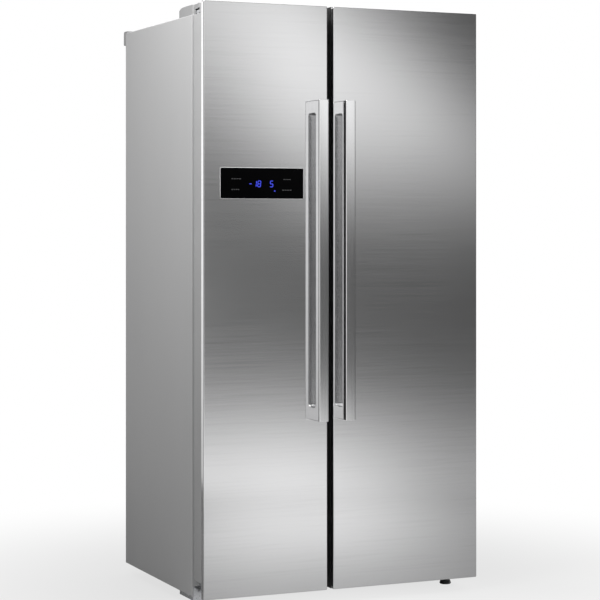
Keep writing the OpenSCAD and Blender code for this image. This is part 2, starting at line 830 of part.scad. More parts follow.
// Frame under the ceiling that carries the two twist trays on bored ends
module ice_maker_frame() {
    z0 = z_ice_axis - 20;
    z1 = z_ceiling - 3;
    color(white_plastic) left_side() difference() {
        block([ice_frame_x, y_ice_0, z0], [ice_frame_x + ice_frame_w, y_ice_1, z1]);
        for (k = [0, 1]) {
            x = ice_frame_x + ice_wall + k * (ice_tray_w + 2 * tray_room + ice_wall);
            block([x, y_ice_0 + ice_wall, z0 - 1],
                  [x + ice_tray_w + 2 * tray_room, y_ice_1 - ice_wall, z1 + 1]);
            translate([ice_axis_x(k), y_ice_1 + 1, z_ice_axis]) rotate([90, 0, 0])
                cylinder(r = ice_pin_r + pin_fit, h = y_ice_1 - y_ice_0 + 2, $fn = 48);
        }
    }
}

// One tray of ice cups on its two pins, with the knob that twists it
module ice_tray(k) {
    x = ice_axis_x(k);
    y0 = y_ice_0 + ice_wall + 1;
    cups = 5;
    cup_l = (ice_tray_l - 4) / cups;
    cup_w = ice_tray_w / 2 - 8;
    z1 = z_ice_axis + ice_pin_r + 4;
    color(white_plastic) left_side() {
        difference() {
            union() {
                block([x - ice_tray_w / 2, y0, z1 - 3], [x + ice_tray_w / 2, y0 + ice_tray_l, z1]);
                block([x - ice_tray_w / 2 + 6, y0 + 1, z1 - ice_tray_h],
                      [x + ice_tray_w / 2 - 6, y0 + ice_tray_l - 1, z1 - 2]);
            }
            for (i = [0:cups - 1]) {
                for (s = [0, 1]) {
                    upright([x + (s - 1) * cup_w - 1 + 2 * s, y0 + 3 + i * cup_l,
                             z1 - ice_tray_h + 3],
                            [x + s * cup_w - 1 + 2 * s, y0 + 1 + (i + 1) * cup_l, z1 + 1], 4);
                }
            }
        }
        translate([x, y0 + 2, z_ice_axis]) rotate([90, 0, 0])
            cylinder(r = ice_pin_r, h = ice_wall + 12, $fn = 48);
        translate([x, y0 + ice_tray_l + ice_wall, z_ice_axis]) rotate([90, 0, 0])
            cylinder(r = ice_pin_r, h = ice_wall + 2, $fn = 48);
        translate([x, y_ice_0 - 2, z_ice_axis]) rotate([90, 0, 0])
            cylinder(r = 15, h = 5, $fn = 48);
        block([x - 3, y_ice_0 - 13, z_ice_axis - 14], [x + 3, y_ice_0 - 6, z_ice_axis + 14]);
    }
}

module ice_tray_left() {
    ice_tray(0);
}
module ice_tray_right() {
    ice_tray(1);
}

// Lamp lenses in both ceilings
module lamp_lenses() {
    color(clear_plastic) {
        left_side() upright([wall_t + 60, y_cab + 45, z_ceiling - 6],
                            [freezer_far - 60, y_cab + 71, z_ceiling], 5);
        right_side() upright([wall_t + 110, y_load + 60, z_ceiling - 8],
                             [fridge_far - 110, y_load + 130, z_ceiling], 6);
    }
}

// Drawers: an open tray with a lip to pull, sliding on the liner's runners
module drawer(far, z, back_y) {
    x0 = wall_t + side_gap;
    x1 = far - side_gap;
    difference() {
        union() {
            tray([x0, y_load, z], [x1, back_y, z + drawer_h], tray_t);
            for (x = [x0 - 9, x1 - 1]) {
                block([x, y_load + 14, z + drawer_h / 2 - 0.7],
                      [x + 10, back_y - 8, z + drawer_h / 2 + 4]);
            }
            bar_x(x0 + 30, x1 - 30) polygon([[y_load + 1, z + drawer_h - 26],
                [y_load + 1, z + drawer_h - 4], [y_load - 5, z + drawer_h - 4],
                [y_load - 5, z + drawer_h - 14]]);
        }
        bar_x(x0 + 34, x1 - 34) polygon([[y_load - 0.5, z + drawer_h - 27],
            [y_load - 0.5, z + drawer_h - 8], [y_load - 3, z + drawer_h - 8],
            [y_load - 3, z + drawer_h - 27]]);
    }
}

module freezer_drawer_lower() {
    color(clear_plastic) left_side() drawer(freezer_far, z_drawer_0, y_step - 8);
}
module freezer_drawer_upper() {
    color(clear_plastic) left_side()
        drawer(freezer_far, z_drawer_1, y_rear_wall - duct_d - 8);
}
module crisper_lower() {
    color(clear_plastic) right_side() drawer(fridge_far, z_drawer_0, y_step - 8);
}
module crisper_upper() {
    color(clear_plastic) right_side() drawer(fridge_far, z_drawer_1, y_rear_wall - 8);
}

// Box that catches the ice, standing on the highest freezer shelf
module ice_box() {
    z0 = freezer_shelf_z(freezer_shelf_n - 1) + 14;
    color(clear_plastic) left_side() tray([wall_t + side_gap, y_load, z0],
        [freezer_far - side_gap, y_rear_wall - duct_d - 12, z_ice_axis - ice_swing - 4], tray_t);
}

// Doors

// Outline of a door, drawn inwards by i, with a notch around each hinge
function door_outline(door_w, i) = [
    [i, z_notch_bottom + i], [notch_w + i, z_notch_bottom + i], [notch_w + i, z_door + i],
    [door_w - i, z_door + i], [door_w - i, body_h - i], [notch_w + i, body_h - i],
    [notch_w + i, z_notch_top - i], [i, z_notch_top - i]];

// Brushed steel skin: the front sheet with all four edges folded back
module door_skin(door_w) {
    r = 2;
    difference() {
        upright([0, y_door, z_door], [door_w, y_pan + r, body_h], r);
        block([skin_t, y_door + skin_t, z_door + skin_t],
              [door_w - skin_t, y_pan + r + 1, body_h - skin_t]);
        block([-1, y_pan, z_door - 1], [door_w + 1, y_pan + r + 1, body_h + 1]);
    }
}

// Room that the display takes, grown by g
module display_room(g, y1) {
    plate_xz(y_door - 2, y1) polygon(round_rect(
        [display_inset - g, body_h - display_drop - display_h - g],
        [display_inset + display_w + g, body_h - display_drop + g], 3));
}

module freezer_door_skin() {
    color(steel) left_side() difference() {
        door_skin(freezer_door_w);
        display_room(slip, y_pan);
    }
}
module fridge_door_skin() {
    color(steel) right_side() door_skin(fridge_door_w);
}

// Foam core behind the skin, and its narrower part inside the moulded frame
module door_foam(door_w) {
    g = 0.2;
    difference() {
        union() {
            block([skin_t + g, y_door + skin_t, z_door + skin_t + g],
                  [door_w - skin_t - g, y_pan - frame_t, body_h - skin_t - g]);
            plate_xz(y_pan - frame_t - 1, y_inside - liner_t)
                polygon(door_outline(door_w, frame_t + g));
        }
        for (z = [z_notch_top - 30, z_notch_bottom - 1]) {
            translate([hinge_inset, y_hinge, z]) cylinder(r = 12, h = 31, $fn = 48);
        }
    }
}

module freezer_door_foam() {
    color(foam_colour) left_side() difference() {
        door_foam(freezer_door_w);
        display_room(2, y_door + 16);
    }
}
module fridge_door_foam() {
    color(foam_colour) right_side() door_foam(fridge_door_w);
}

// Grey moulded frame around the edge, with the bushes that turn on the hinge pins
module door_frame(door_w) {
    difference() {
        union() {
            difference() {
                union() {
                    plate_xz(y_pan, y_inside) polygon(door_outline(door_w, 0));
                    plate_xz(y_pan - frame_t, y_pan + 1)
                        polygon(door_outline(door_w, skin_t + 0.1));
                }
                plate_xz(y_pan - frame_t - 1, y_inside + 1)
                    polygon(door_outline(door_w, frame_t));
            }
            translate([hinge_inset, y_hinge, z_notch_top - 28])
                cylinder(r = 11, h = 27, $fn = 48);
            translate([hinge_inset, y_hinge, z_notch_bottom + 1])
                cylinder(r = 11, h = 27, $fn = 48);
        }
        translate([hinge_inset, y_hinge, z_notch_top - 24])
            cylinder(r = pin_r + pin_fit, h = 25, $fn = 48);
        translate([hinge_inset, y_hinge, z_notch_bottom - 1])
            cylinder(r = pin_r + pin_fit, h = 25, $fn = 48);
    }
}

module freezer_door_frame() {
    color(dark_grey) left_side() door_frame(freezer_door_w);
}
module fridge_door_frame() {
    color(dark_grey) right_side() door_frame(fridge_door_w);
}

// White inner liner: a flat panel with a raised rim that the door shelves hang in
module door_liner(door_w) {
    g = frame_t + 0.2;
    difference() {
        union() {
            plate_xz(y_inside - liner_t, y_inside) polygon(door_outline(door_w, g));
            block([dike_near, y_inside - 1, z_dike_0],
                  [dike_far(door_w), y_cab + dike_in, z_dike_1]);
        }
        upright([dike_near + dike_t, y_inside, z_dike_0 + dike_t],
                [dike_far(door_w) - dike_t, y_cab + dike_in + 1, z_dike_1 - dike_t], 0.5);
    }
}

module freezer_door_liner() {
    color(white_plastic) left_side() door_liner(freezer_door_w);
}
module fridge_door_liner() {
    color(white_plastic) right_side() door_liner(fridge_door_w);
}

// Magnetic seal: a ring that just touches the cabinet's front
module door_gasket(door_w) {
    near = hinge_inset + 5;
    far = door_w - 4;
    high = z_ceiling + seal_inset + gasket_w;
    difference() {
        block([near, y_inside, z_seal_low], [far, y_cab - slip, high]);
        block([near + gasket_w, y_inside - 1, z_seal_low + gasket_w],
              [far - gasket_w, y_cab + 1, high - gasket_w]);
    }
}

module freezer_door_gasket() {
    color(dark_grey) left_side() door_gasket(freezer_door_w);
}
module fridge_door_gasket() {
    color(dark_grey) right_side() door_gasket(fridge_door_w);
}

// Door shelves: open trays hung between the rims
module door_bins(door_w) {
    for (i = [0:bin_n - 1]) {
        z = z_dike_0 + dike_t + 8 + i * bin_pitch;
        tray([bin_near, y_inside + 0.5, z], [bin_far(door_w), y_cab + bin_in, z + bin_h],
             tray_t, 10);
    }
}

module freezer_door_bins() {
    color(clear_plastic) left_side() door_bins(freezer_door_w);
}
module fridge_door_bins() {
    color(clear_plastic) right_side() door_bins(fridge_door_w);
}

// Handle bar with round edges
module handle_bar(door_w) {
    x1 = door_w - handle_inset;
    z1 = body_h - handle_drop;
    upright([x1 - handle_w, y_front, z1 - handle_l], [x1, y_front + handle_t, z1], 3);
}

// Two posts from the door to the bar's ends, filleted where the fingers go in
module handle_posts(door_w) {
    x1 = door_w - handle_inset;
    z1 = body_h - handle_drop;
    fillet = 8;
    y0 = y_front + handle_t;
    for (end = [[z1, -1], [z1 - handle_l, 1]]) {
        z_in = end[0] + end[1] * post_h;
        bar_x(x1 - handle_w, x1) polygon(concat(
            [[y_door, end[0]], [y0, end[0]], [y0, z_in + end[1] * fillet]],
            [for (a = [15:15:90]) [y0 + fillet * (1 - cos(a)), z_in + end[1] * fillet * (1 - sin(a))]],
            [[y_door, z_in]]));
    }
}

module freezer_handle_bar() {
    color(steel) left_side() handle_bar(freezer_door_w);
}
module fridge_handle_bar() {
    color(steel) right_side() handle_bar(fridge_door_w);
}
module freezer_handle_posts() {
    color(steel) left_side() handle_posts(freezer_door_w);
}
module fridge_handle_posts() {
    color(steel) right_side() handle_posts(fridge_door_w);
}

// Black glass of the display, a little proud of the skin
module display_glass() {
    color(black) left_side() plate_xz(y_door - 1, y_door - 1 + display_t)
        polygon(round_rect([display_inset, body_h - display_drop - display_h],
            [display_inset + display_w, body_h - display_drop], 3));
}

// Circuit board with the digits, behind the glass
module display_board() {
    y0 = y_door - 1 + display_t + 0.5;
    z1 = body_h - display_drop - 8;
    color([0.1, 0.35, 0.2]) left_side() block(
        [display_inset + 14, y0, z1 - display_h + 16], [display_inset + display_w - 14, y0 + 8, z1]);
}

// Stance

// One roller on its axle
module roller(y) {
    color(black) translate([roller_inset - roller_w / 2, y, roller_r]) rotate([0, 90, 0])
        difference() {
            cylinder(r = y == y_roller_rear ? roller_r : roller_r - 1.5, h = roller_w, $fn = 64);
            translate([0, 0, -1]) cylinder(r = axle_r + pin_fit, h = roller_w + 2, $fn = 48);
        }
}

module roller_front_left() {
    left_side() roller(y_roller_front);
}
module roller_front_right() {
    right_side() roller(y_roller_front);
}
module roller_rear_left() {
    left_side() roller(y_roller_rear);
}
module roller_rear_right() {
    right_side() roller(y_roller_rear);
}

// Levelling foot: a pad on a stud that screws up into the bottom bracket
module foot() {
    color(dark_grey) translate([foot_x, foot_y, 0]) {
        rotate_extrude($fn = 64) polygon([[0, 0], [foot_r - 2, 0], [foot_r, 3],
            [foot_r - 3, pad_h], [stud_r, pad_h], [stud_r, z_cab - 0.5], [0, z_cab - 0.5]]);
    }
}

module left_foot() {
    left_side() foot();
}
module right_foot() {
    right_side() foot();
}

cabinet_shell();
cabinet_foam();
freezer_liner();
fridge_liner();
front_frame();
back_panel();
base_frame();
machine_cover();
compressor();
condenser();
condenser_fan_shroud();
drip_tray();
evaporator();
freezer_duct_cover();
fridge_duct_cover();
control_box();
cord_inlet();
spacer_rail();
top_hinges();
hinge_covers();
bottom_hinges();
screws();
fridge_shelves();
fridge_shelf_trims();
freezer_shelves();
ice_maker_frame();
lamp_lenses();
freezer_door_skin();
freezer_door_foam();
freezer_door_frame();
freezer_door_liner();
freezer_door_gasket();
freezer_door_bins();
freezer_handle_bar();
freezer_handle_posts();
display_glass();
display_board();
fridge_door_skin();
fridge_door_foam();
fridge_door_frame();
fridge_door_liner();
fridge_door_gasket();
fridge_door_bins();
fridge_handle_bar();
fridge_handle_posts();
freezer_drawer_lower();
freezer_drawer_upper();
crisper_lower();
crisper_upper();
ice_box();
ice_tray_left();
ice_tray_right();
condenser_fan();
evaporator_fan();
left_foot();
right_foot();
roller_front_left();
roller_front_right();
roller_rear_left();
roller_rear_right();
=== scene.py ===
"""Side by side refrigerator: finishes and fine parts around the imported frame. Metres, front towards -Y."""

import math

import bmesh
import bpy
import numpy as np
from bpy.props import FloatProperty, FloatVectorProperty, IntProperty, PointerProperty
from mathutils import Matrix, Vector


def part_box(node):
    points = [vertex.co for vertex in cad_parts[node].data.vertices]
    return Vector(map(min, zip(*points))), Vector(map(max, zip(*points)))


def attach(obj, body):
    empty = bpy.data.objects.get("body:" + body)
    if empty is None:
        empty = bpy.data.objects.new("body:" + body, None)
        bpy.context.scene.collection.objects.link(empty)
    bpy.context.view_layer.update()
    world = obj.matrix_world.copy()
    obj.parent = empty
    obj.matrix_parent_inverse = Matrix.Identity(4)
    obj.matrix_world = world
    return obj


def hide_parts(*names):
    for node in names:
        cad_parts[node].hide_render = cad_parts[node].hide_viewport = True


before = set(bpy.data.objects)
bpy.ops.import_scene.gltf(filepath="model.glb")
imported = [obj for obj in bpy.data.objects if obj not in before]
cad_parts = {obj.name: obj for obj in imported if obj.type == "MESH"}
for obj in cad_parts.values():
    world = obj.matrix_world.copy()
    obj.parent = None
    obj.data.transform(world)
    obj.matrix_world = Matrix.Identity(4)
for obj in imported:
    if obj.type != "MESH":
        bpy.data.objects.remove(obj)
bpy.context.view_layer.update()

bl_info = {
    "name": "Side by Side Refrigerator",
    "version": (1, 0, 0),
    "blender": (4, 5, 0),
    "location": "3D View > Sidebar > Refrigerator",
    "description": "Builds the steel doors, handles, display, seals, shelves and finishes of a refrigerator",
    "category": "Add Mesh",
}

MM = 0.001
SIDES = ("freezer", "fridge")
QUARTER = math.pi / 2
SUPPORT = 0.3 * MM  # a ring this far from a round edge keeps the flat face's shading flat
SHEET = 1 * MM  # steel of the doors and the cabinet
GLASS_CORNER = 3 * MM  # radius of the display's corners


# Settings ---------------------------------------------------------------------------------------

COLOUR = {"subtype": "COLOR", "size": 3, "min": 0, "max": 1}


class SteelSettings(bpy.types.PropertyGroup):
    """Brushed steel of the doors and handles"""

    colour: FloatVectorProperty(
        name="Steel colour", description="Reflected colour of the brushed steel",
        **COLOUR, default=(0.74, 0.74, 0.745))
    roughness: FloatProperty(
        name="Roughness", description="How far the brushing spreads a reflection",
        min=0.05, max=0.8, default=0.11)
    stretch: FloatProperty(
        name="Stretch", description="How much longer reflections are across the brushing than along it",
        min=0, max=1, default=0.35)
    line_pitch: FloatProperty(
        name="Line pitch", description="Typical distance between brushing lines",
        unit="LENGTH", min=0.2 * MM, max=5 * MM, default=0.7 * MM)
    fold_radius: FloatProperty(
        name="Fold radius", description="Radius that the door sheet is folded over",
        unit="LENGTH", min=0.5 * MM, max=4 * MM, default=2 * MM)
    handle_edge: FloatProperty(
        name="Handle edge", description="Radius of the handles' long edges",
        unit="LENGTH", min=0.5 * MM, max=6 * MM, default=3 * MM)


class CabinetSettings(bpy.types.PropertyGroup):
    """Painted steel and plastic"""

    paint: FloatVectorProperty(
        name="Side paint", description="Silver-grey paint of the cabinet",
        **COLOUR, default=(0.50, 0.50, 0.502))
    frame_grey: FloatVectorProperty(
        name="Frame grey", description="Moulded frames around the doors and the hinge covers",
        **COLOUR, default=(0.42, 0.42, 0.422))
    liner_white: FloatVectorProperty(
        name="Liner white", description="Moulded inner liners",
        **COLOUR, default=(0.86, 0.87, 0.87))
    bend_radius: FloatProperty(
        name="Bend radius", description="Outer radius of the folded cabinet sheet",
        unit="LENGTH", min=1 * MM, max=5 * MM, default=1.8 * MM)


class DisplaySettings(bpy.types.PropertyGroup):
    """Glass display with its digits"""

    freezer_value: IntProperty(
        name="Freezer", description="Temperature shown for the freezer", min=-99, max=99, default=-18)
    fridge_value: IntProperty(
        name="Fridge", description="Temperature shown for the fridge", min=-99, max=99, default=5)
    digit_height: FloatProperty(
        name="Digit height", description="Height of the digits",
        unit="LENGTH", min=8 * MM, max=40 * MM, default=17 * MM)
    glow: FloatVectorProperty(
        name="Digit colour", description="Colour that the digits glow in",
        **COLOUR, default=(0.05, 0.08, 1.0))
    brightness: FloatProperty(
        name="Brightness", description="Strength of the digits' light", min=0, max=20, default=0.9)


class StageSettings(bpy.types.PropertyGroup):
    """Floor, light and camera"""

    floor_radius: FloatProperty(
        name="Floor radius", description="Radius of the pale floor",
        unit="LENGTH", min=2, max=20, default=2.6)
    # Strength of the painted pool of light on the floor in front of the doors
    floor_glow: FloatProperty(
        name="Floor glow", description="Extra light from the floor in front of the doors",
        min=0, max=5, default=0.80)
    side_light: FloatProperty(
        name="Side light", description="Power of the soft light on the left",
        unit="POWER", min=0, max=2000, default=41)
    lens: FloatProperty(
        name="Lens", description="Focal length of the camera in millimetres", min=10, max=300, default=112.86)


# Surfaces ---------------------------------------------------------------------------------------


class Shape:
    """Points and faces of one piece, put together from several grids."""

    def __init__(self):
        self.points, self.faces, self.count = [], [], 0

    def add(self, points, faces):
        points = np.asarray(points, float).reshape(-1, 3)
        self.faces += [[int(k) + self.count for k in face] for face in faces]
        self.points.append(points)
        self.count += len(points)
        return self

    def add_rings(self, rings, closed=False, capped=True):
        """Quads between neighbouring rings of points; one face each closes the first and last ring."""
        rings = np.asarray(rings, float)
        rows, columns = rings.shape[:2]
        i = np.arange(rows if closed else rows - 1)[:, None]
        j = np.arange(columns)[None, :]
        after = (j + 1) % columns
        up = (i + 1) % rows
        quads = np.stack(np.broadcast_arrays(
            i * columns + j, i * columns + after, up * columns + after, up * columns + j), -1)
        faces = quads.reshape(-1, 4).tolist()
        if capped and not closed:
            faces += [list(range(columns))[::-1], list(range((rows - 1) * columns, rows * columns))]
        return self.add(rings, faces)

    def to_mesh(self, name):
        mesh = bpy.data.meshes.new(name)
        mesh.from_pydata(np.concatenate(self.points).tolist(), [], self.faces)
        return mesh


def corners(node):
    """Lowest and highest corner of a CAD node as arrays."""
    low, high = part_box(node)
    return np.array(low), np.array(high)


def round_outline(low, high, radius, inset=0.0, steps=6):
    """Rings of a rectangle with round corners, one per inset, each drawn in by it.

    A point is a corner's centre plus the radius that is left times the cosine and sine of an angle that
    goes once round the four corners."""
    inset = np.atleast_1d(np.asarray(inset, float))[:, None]
    low, high = np.asarray(low, float), np.asarray(high, float)
    left = np.maximum(radius - inset, 1e-6)
    angle = np.concatenate([np.linspace(k, k + 1, steps) * QUARTER for k in (-1, 0, 1, 2)])
    side_u = np.repeat([1, 1, -1, -1], steps)
    side_v = np.repeat([-1, 1, 1, -1], steps)
    half, middle = (high - low) / 2, (high + low) / 2
    u = middle[0] + side_u * (half[0] - inset - left) + left * np.cos(angle)
    v = middle[1] + side_v * (half[1] - inset - left) + left * np.sin(angle)
    return np.stack([u, v], -1)


def drawn_in(outline, inset):
    """The outline moved inwards by each inset: every point goes along the mitre of its two edge normals."""
    before = outline - np.roll(outline, 1, axis=0)
    after = np.roll(outline, -1, axis=0) - outline
    first, second = (
        np.stack([-e[:, 1], e[:, 0]], -1) / np.linalg.norm(e, axis=1)[:, None] for e in (before, after))
    mitre = (first + second) / (1 + (first * second).sum(1))[:, None]
    return outline[None] + np.asarray(inset, float)[:, None, None] * mitre[None]


def placed(loops, depth, axes="xzy"):
    """Flat loops as rings in space: their two columns and each loop's depth go along the named axes."""
    depth = np.broadcast_to(np.asarray(depth, float)[:, None], loops.shape[:2])
    columns = dict(zip(axes, (loops[..., 0], loops[..., 1], depth)))
    return np.stack([columns[axis] for axis in "xyz"], -1)


def plate_rings(outline, low, high, radius, axes="xzy", steps=4):
    """Rings of a plate whose edges are round on both faces.

    Going from the low face to the high one, the outline is drawn in by radius times one minus the sine of a
    quarter turn, while the depth moves by radius times one minus its cosine."""
    turn = np.linspace(0, QUARTER, steps + 1)
    inset = np.concatenate([[radius + SUPPORT], radius * (1 - np.sin(turn))])
    depth = np.concatenate([[0], radius * (1 - np.cos(turn))])
    inset = np.concatenate([inset, inset[::-1]])
    depth = np.concatenate([low + depth, high - depth[::-1]])
    return placed(drawn_in(outline, inset), depth, axes)


def cut_corners(outline, times=2):
    """A closed outline made rounder: each edge gives two points, a quarter in from its ends."""
    for _ in range(times):
        step = (np.roll(outline, -1, axis=0) - outline) / 4
        outline = np.stack([outline + step, outline + 3 * step], 1).reshape(-1, 2)
    return outline


def new_piece(name, shape, finish_name, body, replaced=(), uv=None, crease=35,
              flat_faces=True):
    """Makes a piece of the shape's points, with outward faces, its finish and the body it rides on."""
    mesh = shape.to_mesh(name)
    work = bmesh.new()
    work.from_mesh(mesh)
    bmesh.ops.recalc_face_normals(work, faces=work.faces)
    work.to_mesh(mesh)
    work.free()
    mesh.polygons.foreach_set("use_smooth", np.ones(len(mesh.polygons), bool))
    mesh.set_sharp_from_angle(angle=math.radians(crease))
    if uv is not None:
        corner = np.zeros(len(mesh.loops), int)
        mesh.loops.foreach_get("vertex_index", corner)
        layer = mesh.uv_layers.new(name="Brushing")
        layer.data.foreach_set("uv", uv(np.concatenate(shape.points))[corner].ravel())
    piece = bpy.data.objects.new(name, mesh)
    bpy.context.scene.collection.objects.link(piece)
    piece.data.materials.append(finish(finish_name))
    if flat_faces:
        piece.modifiers.new("Flat faces", "WEIGHTED_NORMAL").keep_sharp = True
    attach(piece, body)
    if replaced:
        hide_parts(*replaced)
    return piece


def merged_copy(node):
    """A working copy of a CAD node's mesh whose triangles share their points."""
    work = bmesh.new()
    work.from_mesh(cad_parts[node].data)
    bmesh.ops.remove_doubles(work, verts=work.verts, dist=1e-6)
    return work


def eased_piece(name, node, width, finish_name, body, segments=2):
    """Stands for a CAD node: its triangles become whole faces and its sharp edges are made round."""
    work = merged_copy(node)
    bmesh.ops.dissolve_limit(work, angle_limit=math.radians(0.5), verts=work.verts, edges=work.edges)
    shape = Shape().add(
        [v.co[:] for v in work.verts], [[v.index for v in face.verts] for face in work.faces])
    work.free()
    piece = new_piece(name, shape, finish_name, body, [node], flat_faces=False)
    bevel = piece.modifiers.new("Eased edges", "BEVEL")
    bevel.width, bevel.segments, bevel.limit_method = width, segments, "ANGLE"
    bevel.angle_limit = math.radians(40)
    bevel.harden_normals = True
    return piece


# Finishes ---------------------------------------------------------------------------------------


def add_node(tree, kind, sockets=(), **settings):
    """A shader node with its settings, and its inputs linked or set."""
    node = tree.nodes.new("ShaderNode" + kind)
    for key, value in settings.items():
        setattr(node, key, value)
    for key, value in dict(sockets).items():
        if isinstance(value, bpy.types.NodeSocket):
            tree.links.new(value, node.inputs[key])
        else:
            node.inputs[key].default_value = value
    return node


def math_node(tree, operation, first, *others):
    """The first value and the others in order, put together by one operation."""
    for value in others:
        first = add_node(tree, "Math", {0: first, 1: value}, operation=operation).outputs[0]
    return first


def socket(key):
    """Name of the shader's socket that a keyword stands for."""
    return key.replace("_", " ").title().replace("Ior", "IOR")


def feed(tree, shader, **values):
    """Links values to the shader's sockets."""
    for key, value in values.items():
        tree.links.new(value, shader.inputs[socket(key)])


def new_material(name, **values):
    """A material whose shader has these values set on its own sockets."""
    material = bpy.data.materials.new(name)
    material.use_nodes = True
    shader = material.node_tree.nodes["Principled BSDF"]
    for key, value in values.items():
        shader.inputs[socket(key)].default_value = value
    return material, material.node_tree, shader


def rgba(colour, factor=1.0):
    """The colour times the factor, with full cover."""
    return (*[min(1.0, c * factor) for c in colour], 1.0)


def own_place(tree):
    """The point's place in the piece's own coordinates."""
    return add_node(tree, "TexCoord").outputs["Object"]


def grain(tree, scale, stretch=(1, 1, 1), detail=3.0, shift=0.0):
    """Noise on the piece's own coordinates, drawn out along the axes with a small stretch value."""
    mapped = add_node(tree, "Mapping", {
        "Vector": own_place(tree), "Scale": stretch, "Location": (shift, shift * 1.7, shift * 0.6)})
    return add_node(tree, "TexNoise", {
        "Vector": mapped.outputs[0], "Scale": scale, "Detail": detail}).outputs[0]


def spread(tree, value, low, high, start=0.3, end=0.7):
    """The value's range from start to end, mapped to low and high."""
    return add_node(tree, "MapRange", {
        "Value": value, "From Min": start, "From Max": end, "To Min": low, "To Max": high}).outputs[0]


def tones(tree, value, dark, light, start=0.3, end=0.7):
    """A colour between dark and light."""
    ramp = add_node(tree, "ValToRGB", {"Fac": value})
    first, last = ramp.color_ramp.elements
    first.position, first.color = start, dark
    last.position, last.color = end, light
    return ramp.outputs[0]


def relief(tree, height, strength, depth):
    """The surface's direction under a relief of this depth."""
    return add_node(tree, "Bump", {
        "Strength": strength, "Distance": depth, "Height": height}).outputs[0]


def steel():
    """Settings of the brushed steel."""
    return bpy.context.scene.fridge_steel


def brushed(name, colour, stretch):
    """Steel with fine straight lines: streaks in tone, roughness and relief, and reflections drawn out
    across them."""
    material, tree, shader = new_material(
        name, metallic=1.0, anisotropic=steel().stretch, anisotropic_rotation=0.25)
    fine, rough = 1 / steel().line_pitch, steel().roughness
    lines = grain(tree, 1.0, stretch(fine, 6.0), 4.0)
    broad = grain(tree, 1.0, stretch(fine / 4.5, 3.5), 2.0, 0.37)
    cloud = grain(tree, 2.2, detail=2.0, shift=1.9)
    both = math_node(tree, "ADD", lines, broad)
    feed(tree, shader,
         base_color=tones(tree, both, rgba(colour, 0.968), rgba(colour, 1.016), 0.75, 1.25),
         roughness=spread(tree, math_node(tree, "ADD", both, cloud), rough * 0.93, rough * 1.08, 1.1, 1.9),
         normal=relief(tree, lines, 0.05, 0.01 * MM),
         tangent=add_node(tree, "Tangent", direction_type="UV_MAP", uv_map="Brushing").outputs[0])
    return material


def plain(name, colour, swing, tone_scale, rough, rough_scale, depth, relief_scale, pattern="noise",
          stretch=(1, 1, 1), **values):
    """A finish with a slow drift in tone, a finer one in roughness and a relief at its own scale."""
    material, tree, shader = new_material(name, **values)
    if pattern == "noise":
        height = grain(tree, relief_scale, stretch, 2.0, 1.3)
    else:
        cells = add_node(tree, "TexVoronoi", {"Vector": own_place(tree), "Scale": relief_scale})
        height = cells.outputs["Distance"]
    feed(tree, shader,
         base_color=tones(
             tree, grain(tree, tone_scale, stretch), rgba(colour, 1 - swing), rgba(colour, 1 + swing)),
         roughness=spread(tree, grain(tree, rough_scale, stretch, shift=0.7), *rough),
         normal=relief(tree, height, 0.6, depth))
    return material


def side_paint():
    """Silver paint: fine metal flakes under a soft sheen, with the waviness of a sprayed sheet."""
    colour = bpy.context.scene.fridge_cabinet.paint
    material, tree, shader = new_material("Side paint", metallic=0.1, specular_ior_level=0.25)
    flakes = grain(tree, 1400, detail=2.0)
    drift = grain(tree, 2.5, (1, 1, 0.5), 3.0, 0.4)
    peel = grain(tree, 420, detail=1.0, shift=2.2)
    both = math_node(tree, "ADD", flakes, drift)
    feed(tree, shader,
         base_color=tones(tree, both, rgba(colour, 0.95), rgba(colour, 1.05), 0.75, 1.25),
         roughness=spread(tree, drift, 0.42, 0.5), normal=relief(tree, peel, 0.35, 0.03 * MM))
    return material


def digit_glow():
    """Blue light with a slightly uneven strength, as behind a diffuser."""
    display = bpy.context.scene.fridge_display
    material, tree, shader = new_material(
        "Digit glow", roughness=0.4, base_color=rgba(display.glow, 0.2), emission_color=rgba(display.glow))
    feed(tree, shader, emission_strength=spread(
        tree, grain(tree, 260, detail=1.0), display.brightness * 0.8, display.brightness * 1.15))
    return material


def spangle():
    """Zinc-coated sheet: flat crystals that each shine a little differently."""
    material, tree, shader = new_material("Galvanised sheet", metallic=0.9)
    crystals = add_node(tree, "TexVoronoi", {
        "Vector": own_place(tree), "Scale": 95, "Randomness": 1.0})
    value = add_node(tree, "SeparateColor", {"Color": crystals.outputs["Color"]}).outputs[0]
    feed(tree, shader,
         base_color=tones(tree, value, (0.62, 0.63, 0.64, 1), (0.70, 0.71, 0.72, 1), 0.0, 1.0),
         roughness=spread(tree, value, 0.42, 0.52, 0.0, 1.0))
    return material


def circuit_board():
    """Green board with copper tracks as thin bricks of different lengths."""
    material, tree, shader = new_material("Circuit board", roughness=0.4)
    turned = add_node(tree, "Mapping", {"Vector": own_place(tree), "Rotation": (QUARTER, 0, 0)})
    tracks = add_node(tree, "TexBrick", {
        "Vector": turned.outputs[0], "Scale": 30.0, "Color1": (0.02, 0.16, 0.07, 1),
        "Color2": (0.03, 0.20, 0.09, 1), "Mortar": (0.25, 0.30, 0.12, 1), "Mortar Size": 0.03})
    feed(tree, shader, base_color=tracks.outputs[0])
    return material


def cabinet():
    """Settings of the cabinet."""
    return bpy.context.scene.fridge_cabinet


